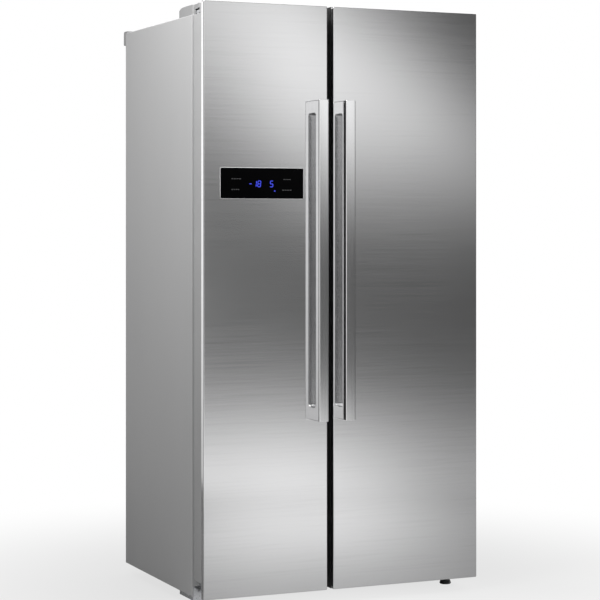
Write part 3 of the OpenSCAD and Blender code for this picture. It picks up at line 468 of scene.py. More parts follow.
FINISHES = {
    "door_steel": lambda: brushed(
        "Door steel", steel().colour, lambda fine, long: (long, long, fine)),
    "handle_steel": lambda: brushed(
        "Handle steel", [1.15 * c for c in steel().colour], lambda fine, long: (fine, fine, long)),
    "side_paint": side_paint,
    "frame_grey": lambda: plain(
        "Frame grey", cabinet().frame_grey, 0.03, 7, (0.42, 0.50), 90, 0.04 * MM, 900),
    "cover_grey": lambda: plain(
        "Cover grey", (0.32, 0.32, 0.322), 0.03, 9, (0.46, 0.54), 90, 0.05 * MM, 800),
    "rail_grey": lambda: plain(
        "Rail grey", (0.31, 0.31, 0.312), 0.04, 8, (0.45, 0.55), 90, 0.05 * MM, 800),
    "liner_white": lambda: plain(
        "Liner white", cabinet().liner_white, 0.008, 3, (0.34, 0.38), 12, 0.015 * MM, 420),
    "part_white": lambda: plain(
        "Part white", (0.82, 0.83, 0.84), 0.02, 12, (0.3, 0.38), 80, 0.03 * MM, 700),
    "seal_grey": lambda: plain(
        "Seal grey", (0.36, 0.365, 0.37), 0.05, 14, (0.55, 0.68), 120, 0.06 * MM, 420, "noise", (1, 1, 0.3)),
    "door_core": lambda: plain(
        "Door core", (0.44, 0.44, 0.435), 0.06, 14, (0.6, 0.7), 60, 0.3 * MM, 600, "cells"),
    "foam": lambda: plain(
        "Foam", (0.82, 0.72, 0.44), 0.08, 14, (0.85, 0.95), 60, 0.6 * MM, 600, "cells"),
    "clear_plastic": lambda: plain(
        "Clear plastic", (0.93, 0.96, 0.98), 0.02, 6, (0.04, 0.09), 40, 0.03 * MM, 90,
        transmission_weight=0.92, ior=1.49),
    "frosted_plastic": lambda: plain(
        "Frosted plastic", (0.88, 0.93, 0.97), 0.02, 8, (0.24, 0.32), 50, 0.03 * MM, 300,
        transmission_weight=0.75, ior=1.49),
    "shelf_glass": lambda: plain(
        "Shelf glass", (0.84, 0.95, 0.92), 0.01, 3, (0.01, 0.03), 20, 0.01 * MM, 12,
        transmission_weight=1.0, ior=1.52),
    "display_black": lambda: plain(
        "Display black", (0.001, 0.001, 0.0012), 0.2, 12, (0.08, 0.12), 25, 0.01 * MM, 20,
        specular_ior_level=0.04),
    # Painted highlight: the trim is pale and not metal, so that it shows as a bright line round the window.
    "window_trim": lambda: plain(
        "Window trim", (0.86, 0.86, 0.865), 0.03, 30, (0.4, 0.5), 200, 0.01 * MM, 900),
    "printed_grey": lambda: plain(
        "Printed grey", (0.045, 0.045, 0.047), 0.1, 150, (0.5, 0.6), 300, 0.01 * MM, 2000),
    "digit_glow": digit_glow,
    "circuit_board": circuit_board,
    "galvanised": spangle,
    "zinc": lambda: plain(
        "Zinc plate", (0.74, 0.75, 0.77), 0.08, 60, (0.24, 0.38), 180, 0.03 * MM, 1200, metallic=1.0),
    "dark_steel": lambda: plain(
        "Dark steel", (0.13, 0.135, 0.14), 0.12, 14, (0.45, 0.6), 70, 0.08 * MM, 500),
    "black_plastic": lambda: plain(
        "Black plastic", (0.025, 0.025, 0.027), 0.2, 20, (0.4, 0.52), 90, 0.08 * MM, 700),
    "compressor_black": lambda: plain(
        "Compressor black", (0.018, 0.018, 0.02), 0.25, 25, (0.28, 0.42), 60, 0.12 * MM, 320,
        coat_weight=0.2),
    "copper": lambda: plain(
        "Copper tube", (0.70, 0.34, 0.20), 0.15, 25, (0.25, 0.42), 90, 0.02 * MM, 700, metallic=1.0),
    "aluminium": lambda: plain(
        "Aluminium fins", (0.80, 0.81, 0.82), 0.06, 30, (0.28, 0.4), 120, 0.03 * MM, 700, metallic=1.0),
    "nylon": lambda: plain(
        "Roller nylon", (0.05, 0.05, 0.053), 0.15, 40, (0.42, 0.55), 150, 0.06 * MM, 900),
}
made_finishes = {}


def finish(name):
    """The finish of this name, made the first time it is asked for."""
    if name not in made_finishes:
        made_finishes[name] = FINISHES[name]()
    return made_finishes[name]


def paint_nodes(finish_name, *nodes):
    """Gives CAD nodes whose shape is right their finish."""
    for node in nodes:
        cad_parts[node].data.materials.clear()
        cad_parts[node].data.materials.append(finish(finish_name))


# Pieces -----------------------------------------------------------------------------------------


def door_panel(side):
    """Door sheet folded back along all four edges: rings go from the middle or the display's hole out over
    the fold, round the free edge and back inside, each a round-cornered rectangle drawn in by its inset."""
    low, high = corners(f"{side}_door_skin")
    fold = steel().fold_radius
    burr = 0.15 * MM  # how far the free edge is eased
    band = high[1] - low[1]
    turn = np.linspace(0, QUARTER, 7)
    inset = np.concatenate([
        [fold + 2 * SUPPORT, fold + SUPPORT], fold * (1 - np.sin(turn)),
        [0, burr, SHEET - burr, SHEET], [SHEET, fold + SUPPORT]])
    depth = np.concatenate([
        [0, 0], fold * (1 - np.cos(turn)), [band - burr, band, band, band - burr], [fold, SHEET]])
    rings = placed(round_outline(low[[0, 2]], high[[0, 2]], fold + 1.5 * MM, inset), low[1] + depth)
    shape = Shape()
    if side == "freezer":
        g_low, g_high = corners("display_glass")
        gap = 0.3 * MM
        hole = round_outline(g_low[[0, 2]] - gap, g_high[[0, 2]] + gap, GLASS_CORNER, [0, 0])
        hole_rings = placed(hole, low[1] + np.array([SHEET, 0]))
        shape.add_rings(np.concatenate([hole_rings, rings]), closed=True)
    else:
        shape.add_rings(rings)

    def unfolded(points):
        """Brushing runs along X, and on over the folds, as on the flat blank: near an edge, a point moves
        out by its distance behind the front."""
        flat = points[:, [0, 2]]
        away = flat - ((low + high) / 2)[[0, 2]]
        near_edge = np.clip((np.abs(away) - ((high - low) / 2)[[0, 2]] + fold) / fold, 0, 1)
        return flat + np.sign(away) * near_edge * (points[:, 1:2] - low[1])

    new_piece(f"{side}_door_panel", shape, "door_steel", f"{side}_door", [f"{side}_door_skin"],
              unfolded, crease=50)


def handle(side):
    """Bar and both posts as one bow: its outline, seen from the side, is carried across the width with
    round edges. Where the posts meet the bar, a fillet's arc joins their lines."""
    bar_low, bar_high = corners(f"{side}_handle_bar")
    post_low, post_high = corners(f"{side}_handle_posts")
    edge = steel().handle_edge
    post, fillet, nose = 40 * MM, 8 * MM, 1.5 * MM
    front, back, base = bar_low[1], bar_high[1], post_high[1] + edge
    z0, z1 = bar_low[2], bar_high[2]
    turn = np.linspace(0, QUARTER, 6)
    ends = []
    for z, way in ((z0, 1), (z1, -1)):
        inner = z + way * post
        arc = np.stack([back + fillet * (1 - np.sin(turn)), inner + way * fillet * (1 - np.cos(turn))], -1)
        tip = np.stack([front + nose * (1 - np.sin(turn)), z + way * nose * (1 - np.cos(turn))], -1)
        ends.append((tip, arc, np.array([[base, z], [base, inner]])))
    (tip0, arc0, foot0), (tip1, arc1, foot1) = ends
    outline = np.concatenate([tip0[::-1], foot0, arc0, arc1[::-1], foot1[::-1], tip1])
    shape = Shape().add_rings(plate_rings(outline, bar_low[0], bar_high[0], edge, "yzx", 5))
    slant = 0.02  # keeps the lines' map from folding flat on the ends
    new_piece(f"{side}_handle", shape, "handle_steel", f"{side}_door",
              [f"{side}_handle_bar", f"{side}_handle_posts"],
              lambda p: np.stack([p[:, 2] + slant * p[:, 1], p[:, 0] - p[:, 1]], -1))


def door_seal(side):
    """Magnetic seal: a folded bellows with a flat magnet strip, its section carried round the door's edge."""
    low, high = corners(f"{side}_door_gasket")
    section = np.array([
        (0.4, 0), (1.8, 2.2), (0.3, 4.4), (2.8, 6.4), (0.6, 8.6), (0, 12), (0.3, 15.6), (1.6, 17.7),
        (14.2, 17.7), (15.7, 15.6), (16, 12), (15.2, 8.8), (13.0, 6.6), (15.4, 4.4), (13.8, 2.2), (15.2, 0)])
    section = cut_corners(section)
    section = section * [MM, (high[1] - low[1]) / section[:, 1].max()]
    section[:, 1] -= section[:, 1].min()
    loops = round_outline(low[[0, 2]], high[[0, 2]], 2 * MM, section[:, 0], 4)
    shape = Shape().add_rings(placed(loops, low[1] + section[:, 1]), closed=True)
    return new_piece(f"{side}_door_seal", shape, "seal_grey", f"{side}_door", [f"{side}_door_gasket"],
                     crease=60)


def tray_rings(low, high, wall, radius, bead):
    """Rings of an open tray: up the outside, over a beaded rim, down the inside and out onto its floor."""
    turn = np.linspace(0, math.pi, 7)
    height = high[2] - low[2]
    curl = np.linspace(0, QUARTER, 4)
    foot = 3 * MM
    inset = np.concatenate([
        foot * (1 - np.sin(curl)) + bead, [bead, bead],
        bead + wall / 2 - (wall / 2 + bead) * np.cos(turn),
        [bead + wall, bead + wall], bead + wall + foot * (1 - np.cos(curl))])
    up = np.concatenate([
        foot * (1 - np.cos(curl)), [height / 2, height - wall - 2 * bead - 1 * MM],
        height - wall / 2 - bead + (wall / 2 + bead) * np.sin(turn),
        [height - wall - 2 * bead - 1 * MM, wall + foot], wall + foot * (1 - np.sin(curl))])
    return placed(round_outline(low[:2], high[:2], radius, inset), low[2] + up, "xyz")


def solids_of(node):
    """Lowest and highest corner of each separate solid of a CAD node, from the lowest solid up."""
    work = merged_copy(node)
    work.verts.ensure_lookup_table()
    edges = np.array([(e.verts[0].index, e.verts[1].index) for e in work.edges])
    points = np.array([v.co[:] for v in work.verts])
    work.free()
    label = np.arange(len(points))
    while True:
        least = np.minimum(label[edges[:, 0]], label[edges[:, 1]])
        joined = label.copy()
        np.minimum.at(joined, edges[:, 0], least)
        np.minimum.at(joined, edges[:, 1], least)
        joined = joined[joined]
        if (joined == label).all():
            break
        label = joined
    boxes = [(points[label == k].min(0), points[label == k].max(0)) for k in np.unique(label)]
    return sorted(boxes, key=lambda box: box[0][2])


def door_shelves(side):
    """Shelves on a door: a clear tray each, with a beaded rim."""
    shape = Shape()
    for low, high in solids_of(f"{side}_door_bins"):
        shape.add_rings(tray_rings(low, high, 2.5 * MM, 10 * MM, 0.8 * MM))
    new_piece(f"{side}_door_shelves", shape, "clear_plastic", f"{side}_door", [f"{side}_door_bins"],
              crease=50)


def wrapper():
    """Cabinet sheet: a section with a folded lip is carried up one side, over the roof and down the other.
    At each place on the way, a section point is drawn in by its inset, with what is left of the bend."""
    low, high = corners("cabinet_shell")
    bend, lip, corner = cabinet().bend_radius, 18 * MM, 3 * MM
    behind = SHEET + 1 * MM
    length = high[1] - low[1]
    turn = np.linspace(0, QUARTER, 5)
    inset = np.concatenate([
        [lip, bend + SUPPORT], bend * (1 - np.sin(turn)), [0, SHEET, SHEET, behind, lip]])
    depth = np.concatenate([
        [0, 0], bend * (1 - np.cos(turn)), [length, length, behind, SHEET, SHEET]])
    left = np.maximum(corner - inset, 1e-6)[None, :]
    angle = np.linspace(0, QUARTER, 6)[:, None]
    across = high[0] - inset[None, :] - left
    above = high[2] - inset[None, :] - left
    right_x, right_z = across + left * np.cos(angle), above + left * np.sin(angle)
    start_x = np.broadcast_to(high[0] - inset[None, :], (2, len(inset)))
    start_z = np.array([[low[2]], [low[2] + 0.05]]) + 0 * inset[None, :]
    x = np.concatenate([start_x, right_x, -right_x[::-1], -start_x[::-1]])
    z = np.concatenate([start_z, right_z, right_z[::-1], start_z[::-1]])
    shape = Shape().add_rings(np.stack([x, np.broadcast_to(low[1] + depth, x.shape), z], -1))
    new_piece("cabinet_wrapper", shape, "side_paint", "cabinet", ["cabinet_shell"], crease=50)


# Bars of a seven-bar digit: where each one's middle is, in half widths and half heights, and if it lies
SEGMENTS = {
    "a": (0, 1, True), "b": (1, 0.5, False), "c": (1, -0.5, False), "d": (0, -1, True),
    "e": (-1, -0.5, False), "f": (-1, 0.5, False), "g": (0, 0, True)}
DIGITS = {
    "0": "abcdef", "1": "bc", "2": "abged", "3": "abgcd", "4": "fgbc", "5": "afgcd", "6": "afgedc",
    "7": "abc", "8": "abcdefg", "9": "abcdfg", "-": "g"}
LEAN = 0.10  # how far the digits lean, per height
# Places on the display, in shares of its width and height
DIGITS_ACROSS = {"freezer": 0.463, "fridge": 0.612}
DIGITS_UP = 0.48
RING_PLACE = (0.65, 0.25)
MARKS = ((0.13, 0.25, 0.64), (0.13, 0.23, 0.29), (0.755, 0.85, 0.63), (0.74, 0.86, 0.28))  # from, to, up


def digit_bars(text, centre_x, centre_z, height):
    """Middles, half sizes and directions of the bars that a number needs."""
    half_h, half_w, step = height / 2, height * 0.26, height * 0.80
    bars = []
    for place, sign in enumerate(text):
        middle = centre_x + (place - (len(text) - 1)) * step
        for key in DIGITS[sign]:
            u, v, lies = SEGMENTS[key]
            x, z = middle + u * half_w + LEAN * v * half_h, centre_z + v * half_h
            bars.append((x, z, lies, half_w, half_h))
    return bars


def thin_bars(shape, bars, y, width, thick):
    """Adds six-sided bars with pointed ends, each a low prism on the glass."""
    for x, z, lies, half_w, half_h in bars:
        length = (half_w if lies else half_h / 2) - 0.6 * width
        along = np.array([-length - width / 2, -length, length, length + width / 2, length, -length])
        across = np.array([0, -1, -1, 0, 1, 1]) * width / 2
        u, v = (along, across) if lies else (across + LEAN * along, along)
        shape.add_rings(placed(np.stack([np.stack([x + u, z + v], -1)] * 2), [y, y - thick]))


def display_window():
    """Black glass with a fine rounded edge, in a thin trim whose pale grey is a painted highlight of its
    bright edge.
    """
    low, high = corners("display_glass")
    outline = round_outline(low[[0, 2]], high[[0, 2]], GLASS_CORNER)[0]
    glass = Shape().add_rings(plate_rings(outline, low[1], high[1], 0.5 * MM, "xzy", 3))
    new_piece("display_window", glass, "display_black", "freezer_door", ["display_glass"])
    section = np.array([(-1.3, 1.3), (-1.1, 0.75), (-0.5, 0.6), (0.1, 0.75), (0.25, 1.3)]) * MM
    loops = round_outline(low[[0, 2]], high[[0, 2]], 4 * MM, section[:, 0])
    trim = Shape().add_rings(placed(loops, low[1] + section[:, 1]), closed=True)
    new_piece("display_trim", trim, "window_trim", "freezer_door", (), crease=60)


def display_signs():
    """Glowing numbers and faint printed marks on the glass."""
    display = bpy.context.scene.fridge_display
    low, high = corners("display_glass")
    y, width, height = low[1], high[0] - low[0], high[2] - low[2]
    digits = Shape()
    for side in SIDES:
        value = str(getattr(display, f"{side}_value"))
        bars = digit_bars(
            value, low[0] + DIGITS_ACROSS[side] * width, low[2] + DIGITS_UP * height, display.digit_height)
        thin_bars(digits, bars, y, 2.1 * MM, 0.05 * MM)
    turn = np.linspace(0, 2 * math.pi, 17)[:-1]
    ring = np.stack([np.cos(turn), np.sin(turn)], -1)
    centre = low[[0, 2]] + np.array(RING_PLACE) * (width, height)
    loops = centre + ring[None] * (np.array([2.4, 1.3, 1.3, 2.4]) * MM)[:, None, None]
    digits.add_rings(placed(loops, y + np.array([0, 0, -0.05, -0.05]) * MM), closed=True)
    new_piece("display_digits", digits, "digit_glow", "freezer_door")
    marks = Shape()
    half, gap = 1.3 * MM, 1.6 * MM
    for start, end, share_z in MARKS:
        z = low[2] + share_z * height
        dashes = low[0] + np.linspace(start, end, 5) * width
        for a, b in zip(dashes[:-1], dashes[1:]):
            outline = round_outline((a, z - half), (b - gap, z + half), 0.8 * MM, [0, 0], 3)
            marks.add_rings(placed(outline, [y, y - 0.04 * MM]))
    new_piece("display_marks", marks, "printed_grey", "freezer_door")


def screw_head(shape, centre, out, radius, height):
    """Pan head with a cross recess: a dome over a disc, pressed in where either arm of the cross passes.

    The height at a point is the dome's, less the recess depth where the point is within an arm's width."""
    across = np.linspace(-1, 1, 21)
    u, v = np.meshgrid(across, across)
    rounding = np.maximum(np.abs(u), np.abs(v)) / np.maximum(np.hypot(u, v), 1e-9)
    u, v = u * rounding, v * rounding
    r = np.hypot(u, v)
    dome = height * (1 - 0.55 * r ** 3)
    arm = np.minimum(np.abs(u), np.abs(v))
    recess = (arm < 0.13) & (r < 0.58)
    up = np.where(recess, height * 0.35, dome)
    out = np.asarray(out, float)
    first = np.array([1.0, 0, 0])
    second = np.cross(out, first)
    top = centre + radius * (u[..., None] * first + v[..., None] * second) + up[..., None] * out
    n = len(across)
    i, j = np.meshgrid(np.arange(n - 1), np.arange(n - 1), indexing="ij")
    start = i * n + j
    quads = np.stack([start, start + 1, start + n + 1, start + n], -1).reshape(-1, 4).tolist()
    edge = np.concatenate([
        np.arange(n), np.arange(1, n) * n + n - 1,
        (n - 1) * n + np.arange(n - 2, -1, -1), np.arange(n - 2, 0, -1) * n])
    rim = top.reshape(-1, 3)[edge]
    foot = rim - ((rim - centre) @ out)[:, None] * out
    base = n * n
    count = len(edge)
    walls = [
        [int(edge[k]), int(edge[(k + 1) % count]), base + (k + 1) % count, base + k] for k in range(count)]
    shape.add(np.concatenate([top.reshape(-1, 3), foot]), quads + walls + [list(range(base, base + count))])


def screw_set():
    """All screw heads, each over the solid of its CAD screw."""
    shape = Shape()
    for low, high in solids_of("screws"):
        size = high - low
        x, y, z = (low + high) / 2
        radius = size[0] / 2
        if abs(size[0] - size[1]) < 0.2 * MM:  # it stands upright
            screw_head(shape, np.array([x, y, high[2] - 3 * MM]), (0, 0, 1), radius, 3 * MM)
        elif y > 0:
            screw_head(shape, np.array([x, low[1], z]), (0, 1, 0), radius, size[1])
        else:
            screw_head(shape, np.array([x, high[1], z]), (0, -1, 0), radius, size[1])
    new_piece("screw_heads", shape, "zinc", "cabinet", ["screws"], crease=40)


# Operators --------------------------------------------------------------------------------------


class FridgeOperator(bpy.types.Operator):
    """Shared parts of the building steps"""

    bl_options = {"REGISTER", "UNDO"}

    def execute(self, context):
        self.build(context.scene)
        return {"FINISHED"}


def blacken_gap_side(piece, side, reach):
    """Paints the faces within reach of the gap between the doors, and turned to it, black: painted shade for
    the dark gap, on parts that are grey.
    """
    low, high = corners(f"{side}_door_skin")
    edge, way = (high[0], 1) if side == "freezer" else (low[0], -1)
    # The black plastic finish on these faces is painted shade, not a black part.
    piece.data.materials.append(finish("black_plastic"))
    for face in piece.data.polygons:
        if face.normal.x * way > 0.3 and abs(face.center.x - edge) < reach:
            face.material_index = 1


class FRIDGE_OT_doors(FridgeOperator):
    """Steel panels, moulded frames, liners, foam and seals of both doors"""

    bl_idname = "fridge.doors"
    bl_label = "Doors"

    def build(self, scene):
        for side in SIDES:
            body = f"{side}_door"
            door_panel(side)
            seal = door_seal(side)
            edge = eased_piece(
                f"{side}_door_edge", f"{side}_door_frame", 0.7 * MM, "frame_grey", body)
            # Painted shade: the gap-facing sides of the grey seal and door edge are made black.
            blacken_gap_side(seal, side, 22 * MM)
            blacken_gap_side(edge, side, 12 * MM)
            eased_piece(
                f"{side}_door_inside", f"{side}_door_liner", 3 * MM, "liner_white", body, 3)
            paint_nodes("door_core", f"{side}_door_foam")


class FRIDGE_OT_handles(FridgeOperator):
    """Both bow handles"""

    bl_idname = "fridge.handles"
    bl_label = "Handles"

    def build(self, scene):
        for side in SIDES:
            handle(side)


class FRIDGE_OT_display(FridgeOperator):
    """Glass, trim, digits and marks of the display, and the board behind them"""

    bl_idname = "fridge.display"
    bl_label = "Display"

    def build(self, scene):
        display_window()
        display_signs()
        paint_nodes("circuit_board", "display_board")


class FRIDGE_OT_door_shelves(FridgeOperator):
    """Clear shelves on both doors"""

    bl_idname = "fridge.door_shelves"
    bl_label = "Door shelves"

    def build(self, scene):
        for side in SIDES:
            door_shelves(side)


class FRIDGE_OT_cabinet(FridgeOperator):
    """Painted wrapper, front faces, back, base, foam and spacer rail"""

    bl_idname = "fridge.cabinet"
    bl_label = "Cabinet"

    def build(self, scene):
        wrapper()
        paint_nodes("side_paint", "front_frame")
        paint_nodes("galvanised", "back_panel")
        paint_nodes("dark_steel", "base_frame", "machine_cover")
        paint_nodes("foam", "cabinet_foam")
        paint_nodes("black_plastic", "cord_inlet")
        eased_piece("wall_spacer_rail", "spacer_rail", 0.8 * MM, "rail_grey", "cabinet")


class FRIDGE_OT_hinges(FridgeOperator):
    """Hinge plates, their covers and all screws"""

    bl_idname = "fridge.hinges"
    bl_label = "Hinges"

    def build(self, scene):
        eased_piece("top_hinge_covers", "hinge_covers", 1.2 * MM, "cover_grey", "cabinet", 3)
        eased_piece("top_hinge_plates", "top_hinges", 0.4 * MM, "zinc", "cabinet", 1)
        eased_piece("bottom_hinge_plates", "bottom_hinges", 0.4 * MM, "zinc", "cabinet", 1)
        screw_set()


class FRIDGE_OT_compartments(FridgeOperator):
    """Liners, air ducts, lamps and glass shelves of both compartments"""

    bl_idname = "fridge.compartments"
    bl_label = "Compartments"

    def build(self, scene):
        for side in SIDES:
            eased_piece(
                f"{side}_inside", f"{side}_liner", 1.2 * MM, "liner_white", "cabinet", 3)
            eased_piece(f"{side}_duct", f"{side}_duct_cover", 1 * MM, "part_white", "cabinet")
        eased_piece(
            "fridge_shelf_edges", "fridge_shelf_trims", 0.6 * MM, "part_white", "cabinet")
        eased_piece("lamp_covers", "lamp_lenses", 1.2 * MM, "frosted_plastic", "cabinet")
        paint_nodes("shelf_glass", "fridge_shelves", "freezer_shelves")


class FRIDGE_OT_drawers(FridgeOperator):
    """Drawers, crispers and the ice box"""

    bl_idname = "fridge.drawers"
    bl_label = "Drawers"

    def build(self, scene):
        for node in (
                "freezer_drawer_lower", "freezer_drawer_upper", "crisper_lower", "crisper_upper", "ice_box"):
            eased_piece(f"{node}_tray", node, 0.8 * MM, "clear_plastic", node)


class FRIDGE_OT_ice_maker(FridgeOperator):
    """Frame and both twist trays of the ice maker"""

    bl_idname = "fridge.ice_maker"
    bl_label = "Ice maker"

    def build(self, scene):
        eased_piece("ice_maker_housing", "ice_maker_frame", 0.8 * MM, "part_white", "cabinet")
        for node in ("ice_tray_left", "ice_tray_right"):
            eased_piece(f"{node}_cups", node, 0.6 * MM, "liner_white", node)


class FRIDGE_OT_cooling(FridgeOperator):
    """Compressor, coils, fans, tray and control box"""

    bl_idname = "fridge.cooling"
    bl_label = "Cooling"

    def build(self, scene):
        paint_nodes("compressor_black", "compressor")
        paint_nodes("copper", "condenser")
        paint_nodes("aluminium", "evaporator")
        paint_nodes("black_plastic", "condenser_fan_shroud", "drip_tray", "condenser_fan", "evaporator_fan")
        paint_nodes("dark_steel", "control_box")


class FRIDGE_OT_stance(FridgeOperator):
    """Levelling feet and rollers"""

    bl_idname = "fridge.stance"
    bl_label = "Stance"

    def build(self, scene):
        for node in ("left_foot", "right_foot"):
            eased_piece(f"{node}_pad", node, 0.5 * MM, "black_plastic", node)
        for node in ("roller_front_left", "roller_front_right", "roller_rear_left", "roller_rear_right"):
            eased_piece(f"{node}_wheel", node, 1 * MM, "nylon", node, 3)


def smooth_step(tree, value, start, end, low=0.0, high=1.0):
    """A soft change from low to high while the value goes from start to end."""
    return add_node(tree, "MapRange", {
        "Value": value, "From Min": start, "From Max": end, "To Min": low, "To Max": high},
        interpolation_type="SMOOTHSTEP").outputs[0]


def white_to_the_eye(tree, shader, light, share=None):
    """The shader's light, mixed with plain white by the share for what is seen straight on."""
    seen = add_node(tree, "LightPath").outputs["Is Camera Ray"]
    white = add_node(tree, light, {"Strength": 1.0, "Color": (1, 1, 1, 1)}).outputs[0]
    if share:
        seen = math_node(tree, "MULTIPLY", seen, share)
    return add_node(tree, "MixShader", {0: seen, 1: shader.outputs[0], 2: white}).outputs[0]


CAMERA_PLACE, CAMERA_TURN, CAMERA_SHIFT = (-2.3805, -5.3865, 1.133), math.radians(-23.88), -0.133
SOFTBOX_PLACE, SOFTBOX_AIM, SOFTBOX_SIZE = (-1.45, -0.9, 2.6), (-0.45, -0.1, 1.35), (0.9, 0.7)

# Patches of light round the object. A patch is the product of soft changes, each with what it goes by, its
# start and end, and the strength before and after. "turn" is the angle in degrees to the right of straight
# in front, "rise" the height of the direction, "across" its part to the right, "slanted" a turn that grows
# with the height, and "sunk" a height that falls off to the left of the window.
PATCHES = {
    "window": (
        ("sunk", -0.020, 0.084, 0.0, 1.2), ("turn", 20.5, 23.5, 0.58, 1.0),
        ("slanted", 30.2, 34.9, 1.0, 0.0), ("turn", -8.0, 10.0, 0.0, 1.0)),
    "low_part": (
        ("rise", -0.140, -0.078, 1.18, 0.0), ("turn", 23.5, 29.5, 1.0, 0.34),
        ("turn", 19.5, 23.5, 0.72, 1.0), ("turn", 5.0, 18.0, 0.0, 1.0)),
    "band": (("turn", 22.0, 29.0, 0.11, 0.07),),
    "band_in_front": (("turn", -10.0, 5.0, 0.0, 1.0), ("turn", 15.0, 20.5, 1.3, 0.0)),
    "ceiling": (("rise", 0.35, 0.85, 0.0, 1.0), ("across", -0.4, 0.3, 0.1, 1.0)),
    "strip_behind": (
        ("turn", -172.0, -166.0, 0.0, 1.0), ("turn", -153.0, -147.0, 1.0, 0.0),
        ("rise", -0.20, 0.08, 0.45, 1.3), ("rise", 0.16, 0.24, 1.0, 0.0)),
    "right": (("turn", 50.0, 80.0, 0.0, 0.85), ("rise", -0.1, 0.2, 0.0, 1.0)),
    "left": (
        ("turn", -60.0, -45.0, 0.0, 1.0), ("turn", -26.0, -12.0, 1.0, 0.0),
        ("rise", -0.12, 0.08, 0.65, 1.05), ("rise", -0.20, -0.13, 0.0, 1.0),
        ("rise", 0.14, 0.22, 1.0, 0.0)),
}


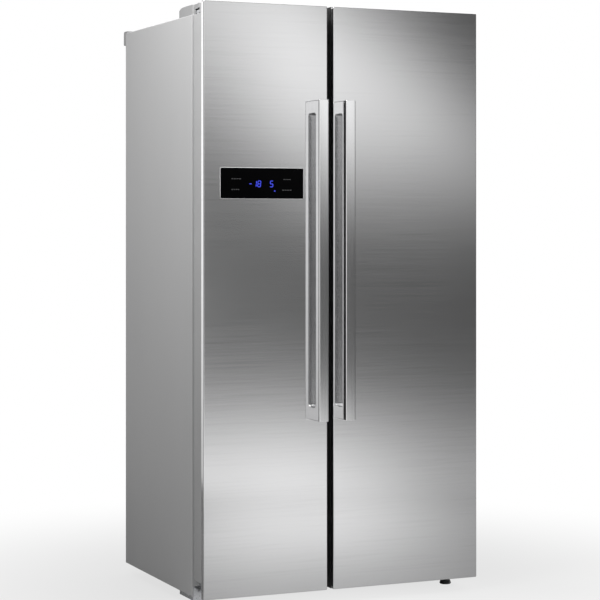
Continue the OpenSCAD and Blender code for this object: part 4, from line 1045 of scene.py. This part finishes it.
class FRIDGE_OT_stage(FridgeOperator):
    """Pale floor, soft studio light and the camera"""

    bl_idname = "fridge.stage"
    bl_label = "Stage"

    def build(self, scene):
        stage = scene.fridge_stage
        scene.view_settings.view_transform = "Standard"
        self.add_camera(scene, stage)
        self.add_floor(scene, stage)
        self.add_world(scene)
        self.add_side_light(scene, stage)

    def add_camera(self, scene, stage):
        data = bpy.data.cameras.new("camera")
        data.lens, data.sensor_width, data.shift_y = stage.lens, 36.0, CAMERA_SHIFT
        camera = bpy.data.objects.new("camera", data)
        camera.location = CAMERA_PLACE
        camera.rotation_euler = (QUARTER, 0, CAMERA_TURN)
        scene.collection.objects.link(camera)
        scene.camera = camera

    def add_floor(self, scene, stage):
        """A disc on polar rings, each at its radius times the cosine and sine of an angle. Its glow, a
        painted pool of light from its emission, is strongest in front of the doors, and what is seen of it
        fades into white further out."""
        radius = np.array([0.02, 0.25, 0.5, 0.75, 1.0])[:, None] * stage.floor_radius
        angle = np.linspace(0, 2 * math.pi, 65)[:-1][None, :]
        rings = np.stack([radius * np.cos(angle), radius * np.sin(angle), 0 * radius * angle], -1)
        shape = Shape().add_rings(rings, capped=False)
        shape.faces.append(list(range(64)))
        mesh = shape.to_mesh("floor")
        floor = bpy.data.objects.new("floor", mesh)
        scene.collection.objects.link(floor)
        material = plain("Pale floor", (0.16, 0.16, 0.16), 0.01, 1.5, (0.8, 0.9), 3, 0.1 * MM, 40)
        tree = material.node_tree
        shader = tree.nodes["Principled BSDF"]
        shader.inputs["Emission Color"].default_value = (1, 1, 1, 1)
        place = own_place(tree)
        x, y, _ = add_node(tree, "SeparateXYZ", {0: place}).outputs
        slanted = math_node(tree, "ADD", x, math_node(tree, "MULTIPLY", y, 0.43))
        full = stage.floor_glow
        # Painted pool of light: the floor's emission is strongest in front of the doors and falls off to the
        # sides and further out.
        feed(tree, shader, emission_strength=math_node(
            tree, "MULTIPLY",
            smooth_step(tree, y, 0.0, -0.4), smooth_step(tree, y, -0.3, -1.9, 0.40 * full, full),
            smooth_step(tree, slanted, -0.2, 0.60, 1.0, 0.28),
            smooth_step(tree, slanted, -1.2, -0.3, 0.15, 1.0)))
        from_middle = add_node(
            tree, "VectorMath", {0: place, 1: (0, 0, 0)}, operation="DISTANCE").outputs["Value"]
        share = smooth_step(tree, from_middle, 0.4, 1.9, 0.72, 1.0)
        mixed = white_to_the_eye(tree, shader, "Emission", share)
        tree.links.new(mixed, tree.nodes["Material Output"].inputs[0])
        mesh.materials.append(material)

    def add_world(self, scene):
        """Soft light by direction, the sum of all patches: a broad window low on the right that the doors
        mirror, a dim band along the horizon, a bright ceiling, a strip behind on the left, and softer
        fields on the right and the left. What is seen of it is white."""
        world = bpy.data.worlds.new("studio")
        scene.world = world
        world.use_nodes = True
        tree = world.node_tree
        tree.nodes.clear()
        way = add_node(tree, "TexCoord").outputs["Generated"]
        across, along, rise = add_node(tree, "SeparateXYZ", {0: way}).outputs
        front = math_node(tree, "MULTIPLY", along, -1.0)
        turn = math_node(tree, "MULTIPLY", math_node(tree, "ARCTAN2", across, front), 180 / math.pi)
        slanted = math_node(tree, "ADD", turn, math_node(tree, "MULTIPLY", rise, 65.0))
        left_of = math_node(tree, "MINIMUM", math_node(tree, "SUBTRACT", turn, 24.0), 0.0)
        sunk = math_node(tree, "ADD", rise, math_node(tree, "MULTIPLY", left_of, 0.013))
        by = {"turn": turn, "rise": rise, "across": across, "slanted": slanted, "sunk": sunk}
        patches = [
            math_node(tree, "MULTIPLY", *[smooth_step(tree, by[name], *change) for name, *change in changes])
            for changes in PATCHES.values()]
        light = add_node(tree, "Background", {
            "Color": (1, 1, 1, 1), "Strength": math_node(tree, "ADD", *patches)})
        mixed = white_to_the_eye(tree, light, "Background")
        add_node(tree, "OutputWorld", {0: mixed})

    def add_side_light(self, scene, stage):
        data = bpy.data.lights.new("side_softbox", "AREA")
        data.shape, (data.size, data.size_y), data.energy = "RECTANGLE", SOFTBOX_SIZE, stage.side_light
        light = bpy.data.objects.new("side_softbox", data)
        light.location = SOFTBOX_PLACE
        aim = Vector(SOFTBOX_AIM) - light.location
        light.rotation_euler = aim.to_track_quat("-Z", "Y").to_euler()
        light.visible_camera = False
        scene.collection.objects.link(light)


STEPS = (
    FRIDGE_OT_doors, FRIDGE_OT_handles, FRIDGE_OT_display, FRIDGE_OT_door_shelves, FRIDGE_OT_cabinet,
    FRIDGE_OT_hinges, FRIDGE_OT_compartments, FRIDGE_OT_drawers, FRIDGE_OT_ice_maker, FRIDGE_OT_cooling,
    FRIDGE_OT_stance, FRIDGE_OT_stage)


class FRIDGE_PT_panel(bpy.types.Panel):
    """Building steps and their settings"""

    bl_idname = "FRIDGE_PT_panel"
    bl_label = "Refrigerator"
    bl_space_type = "VIEW_3D"
    bl_region_type = "UI"
    bl_category = "Refrigerator"

    def draw(self, context):
        scene = context.scene
        for step in STEPS:
            self.layout.operator(step.bl_idname)
        for group, kind in SETTINGS.items():
            box = self.layout.box()
            for name in kind.__annotations__:
                box.prop(getattr(scene, group), name)


SETTINGS = {
    "fridge_steel": SteelSettings, "fridge_cabinet": CabinetSettings,
    "fridge_display": DisplaySettings, "fridge_stage": StageSettings}


def register():
    for name, group in SETTINGS.items():
        bpy.utils.register_class(group)
        setattr(bpy.types.Scene, name, PointerProperty(type=group))
    for step in STEPS:
        bpy.utils.register_class(step)
    bpy.utils.register_class(FRIDGE_PT_panel)


def unregister():
    bpy.utils.unregister_class(FRIDGE_PT_panel)
    for step in reversed(STEPS):
        bpy.utils.unregister_class(step)
    for name, group in SETTINGS.items():
        delattr(bpy.types.Scene, name)
        bpy.utils.unregister_class(group)


def main():
    """Builds every piece and the stage."""
    register()
    for step in STEPS:
        group, name = step.bl_idname.split(".")
        getattr(getattr(bpy.ops, group), name)()


if __name__ == "__main__":
    main()
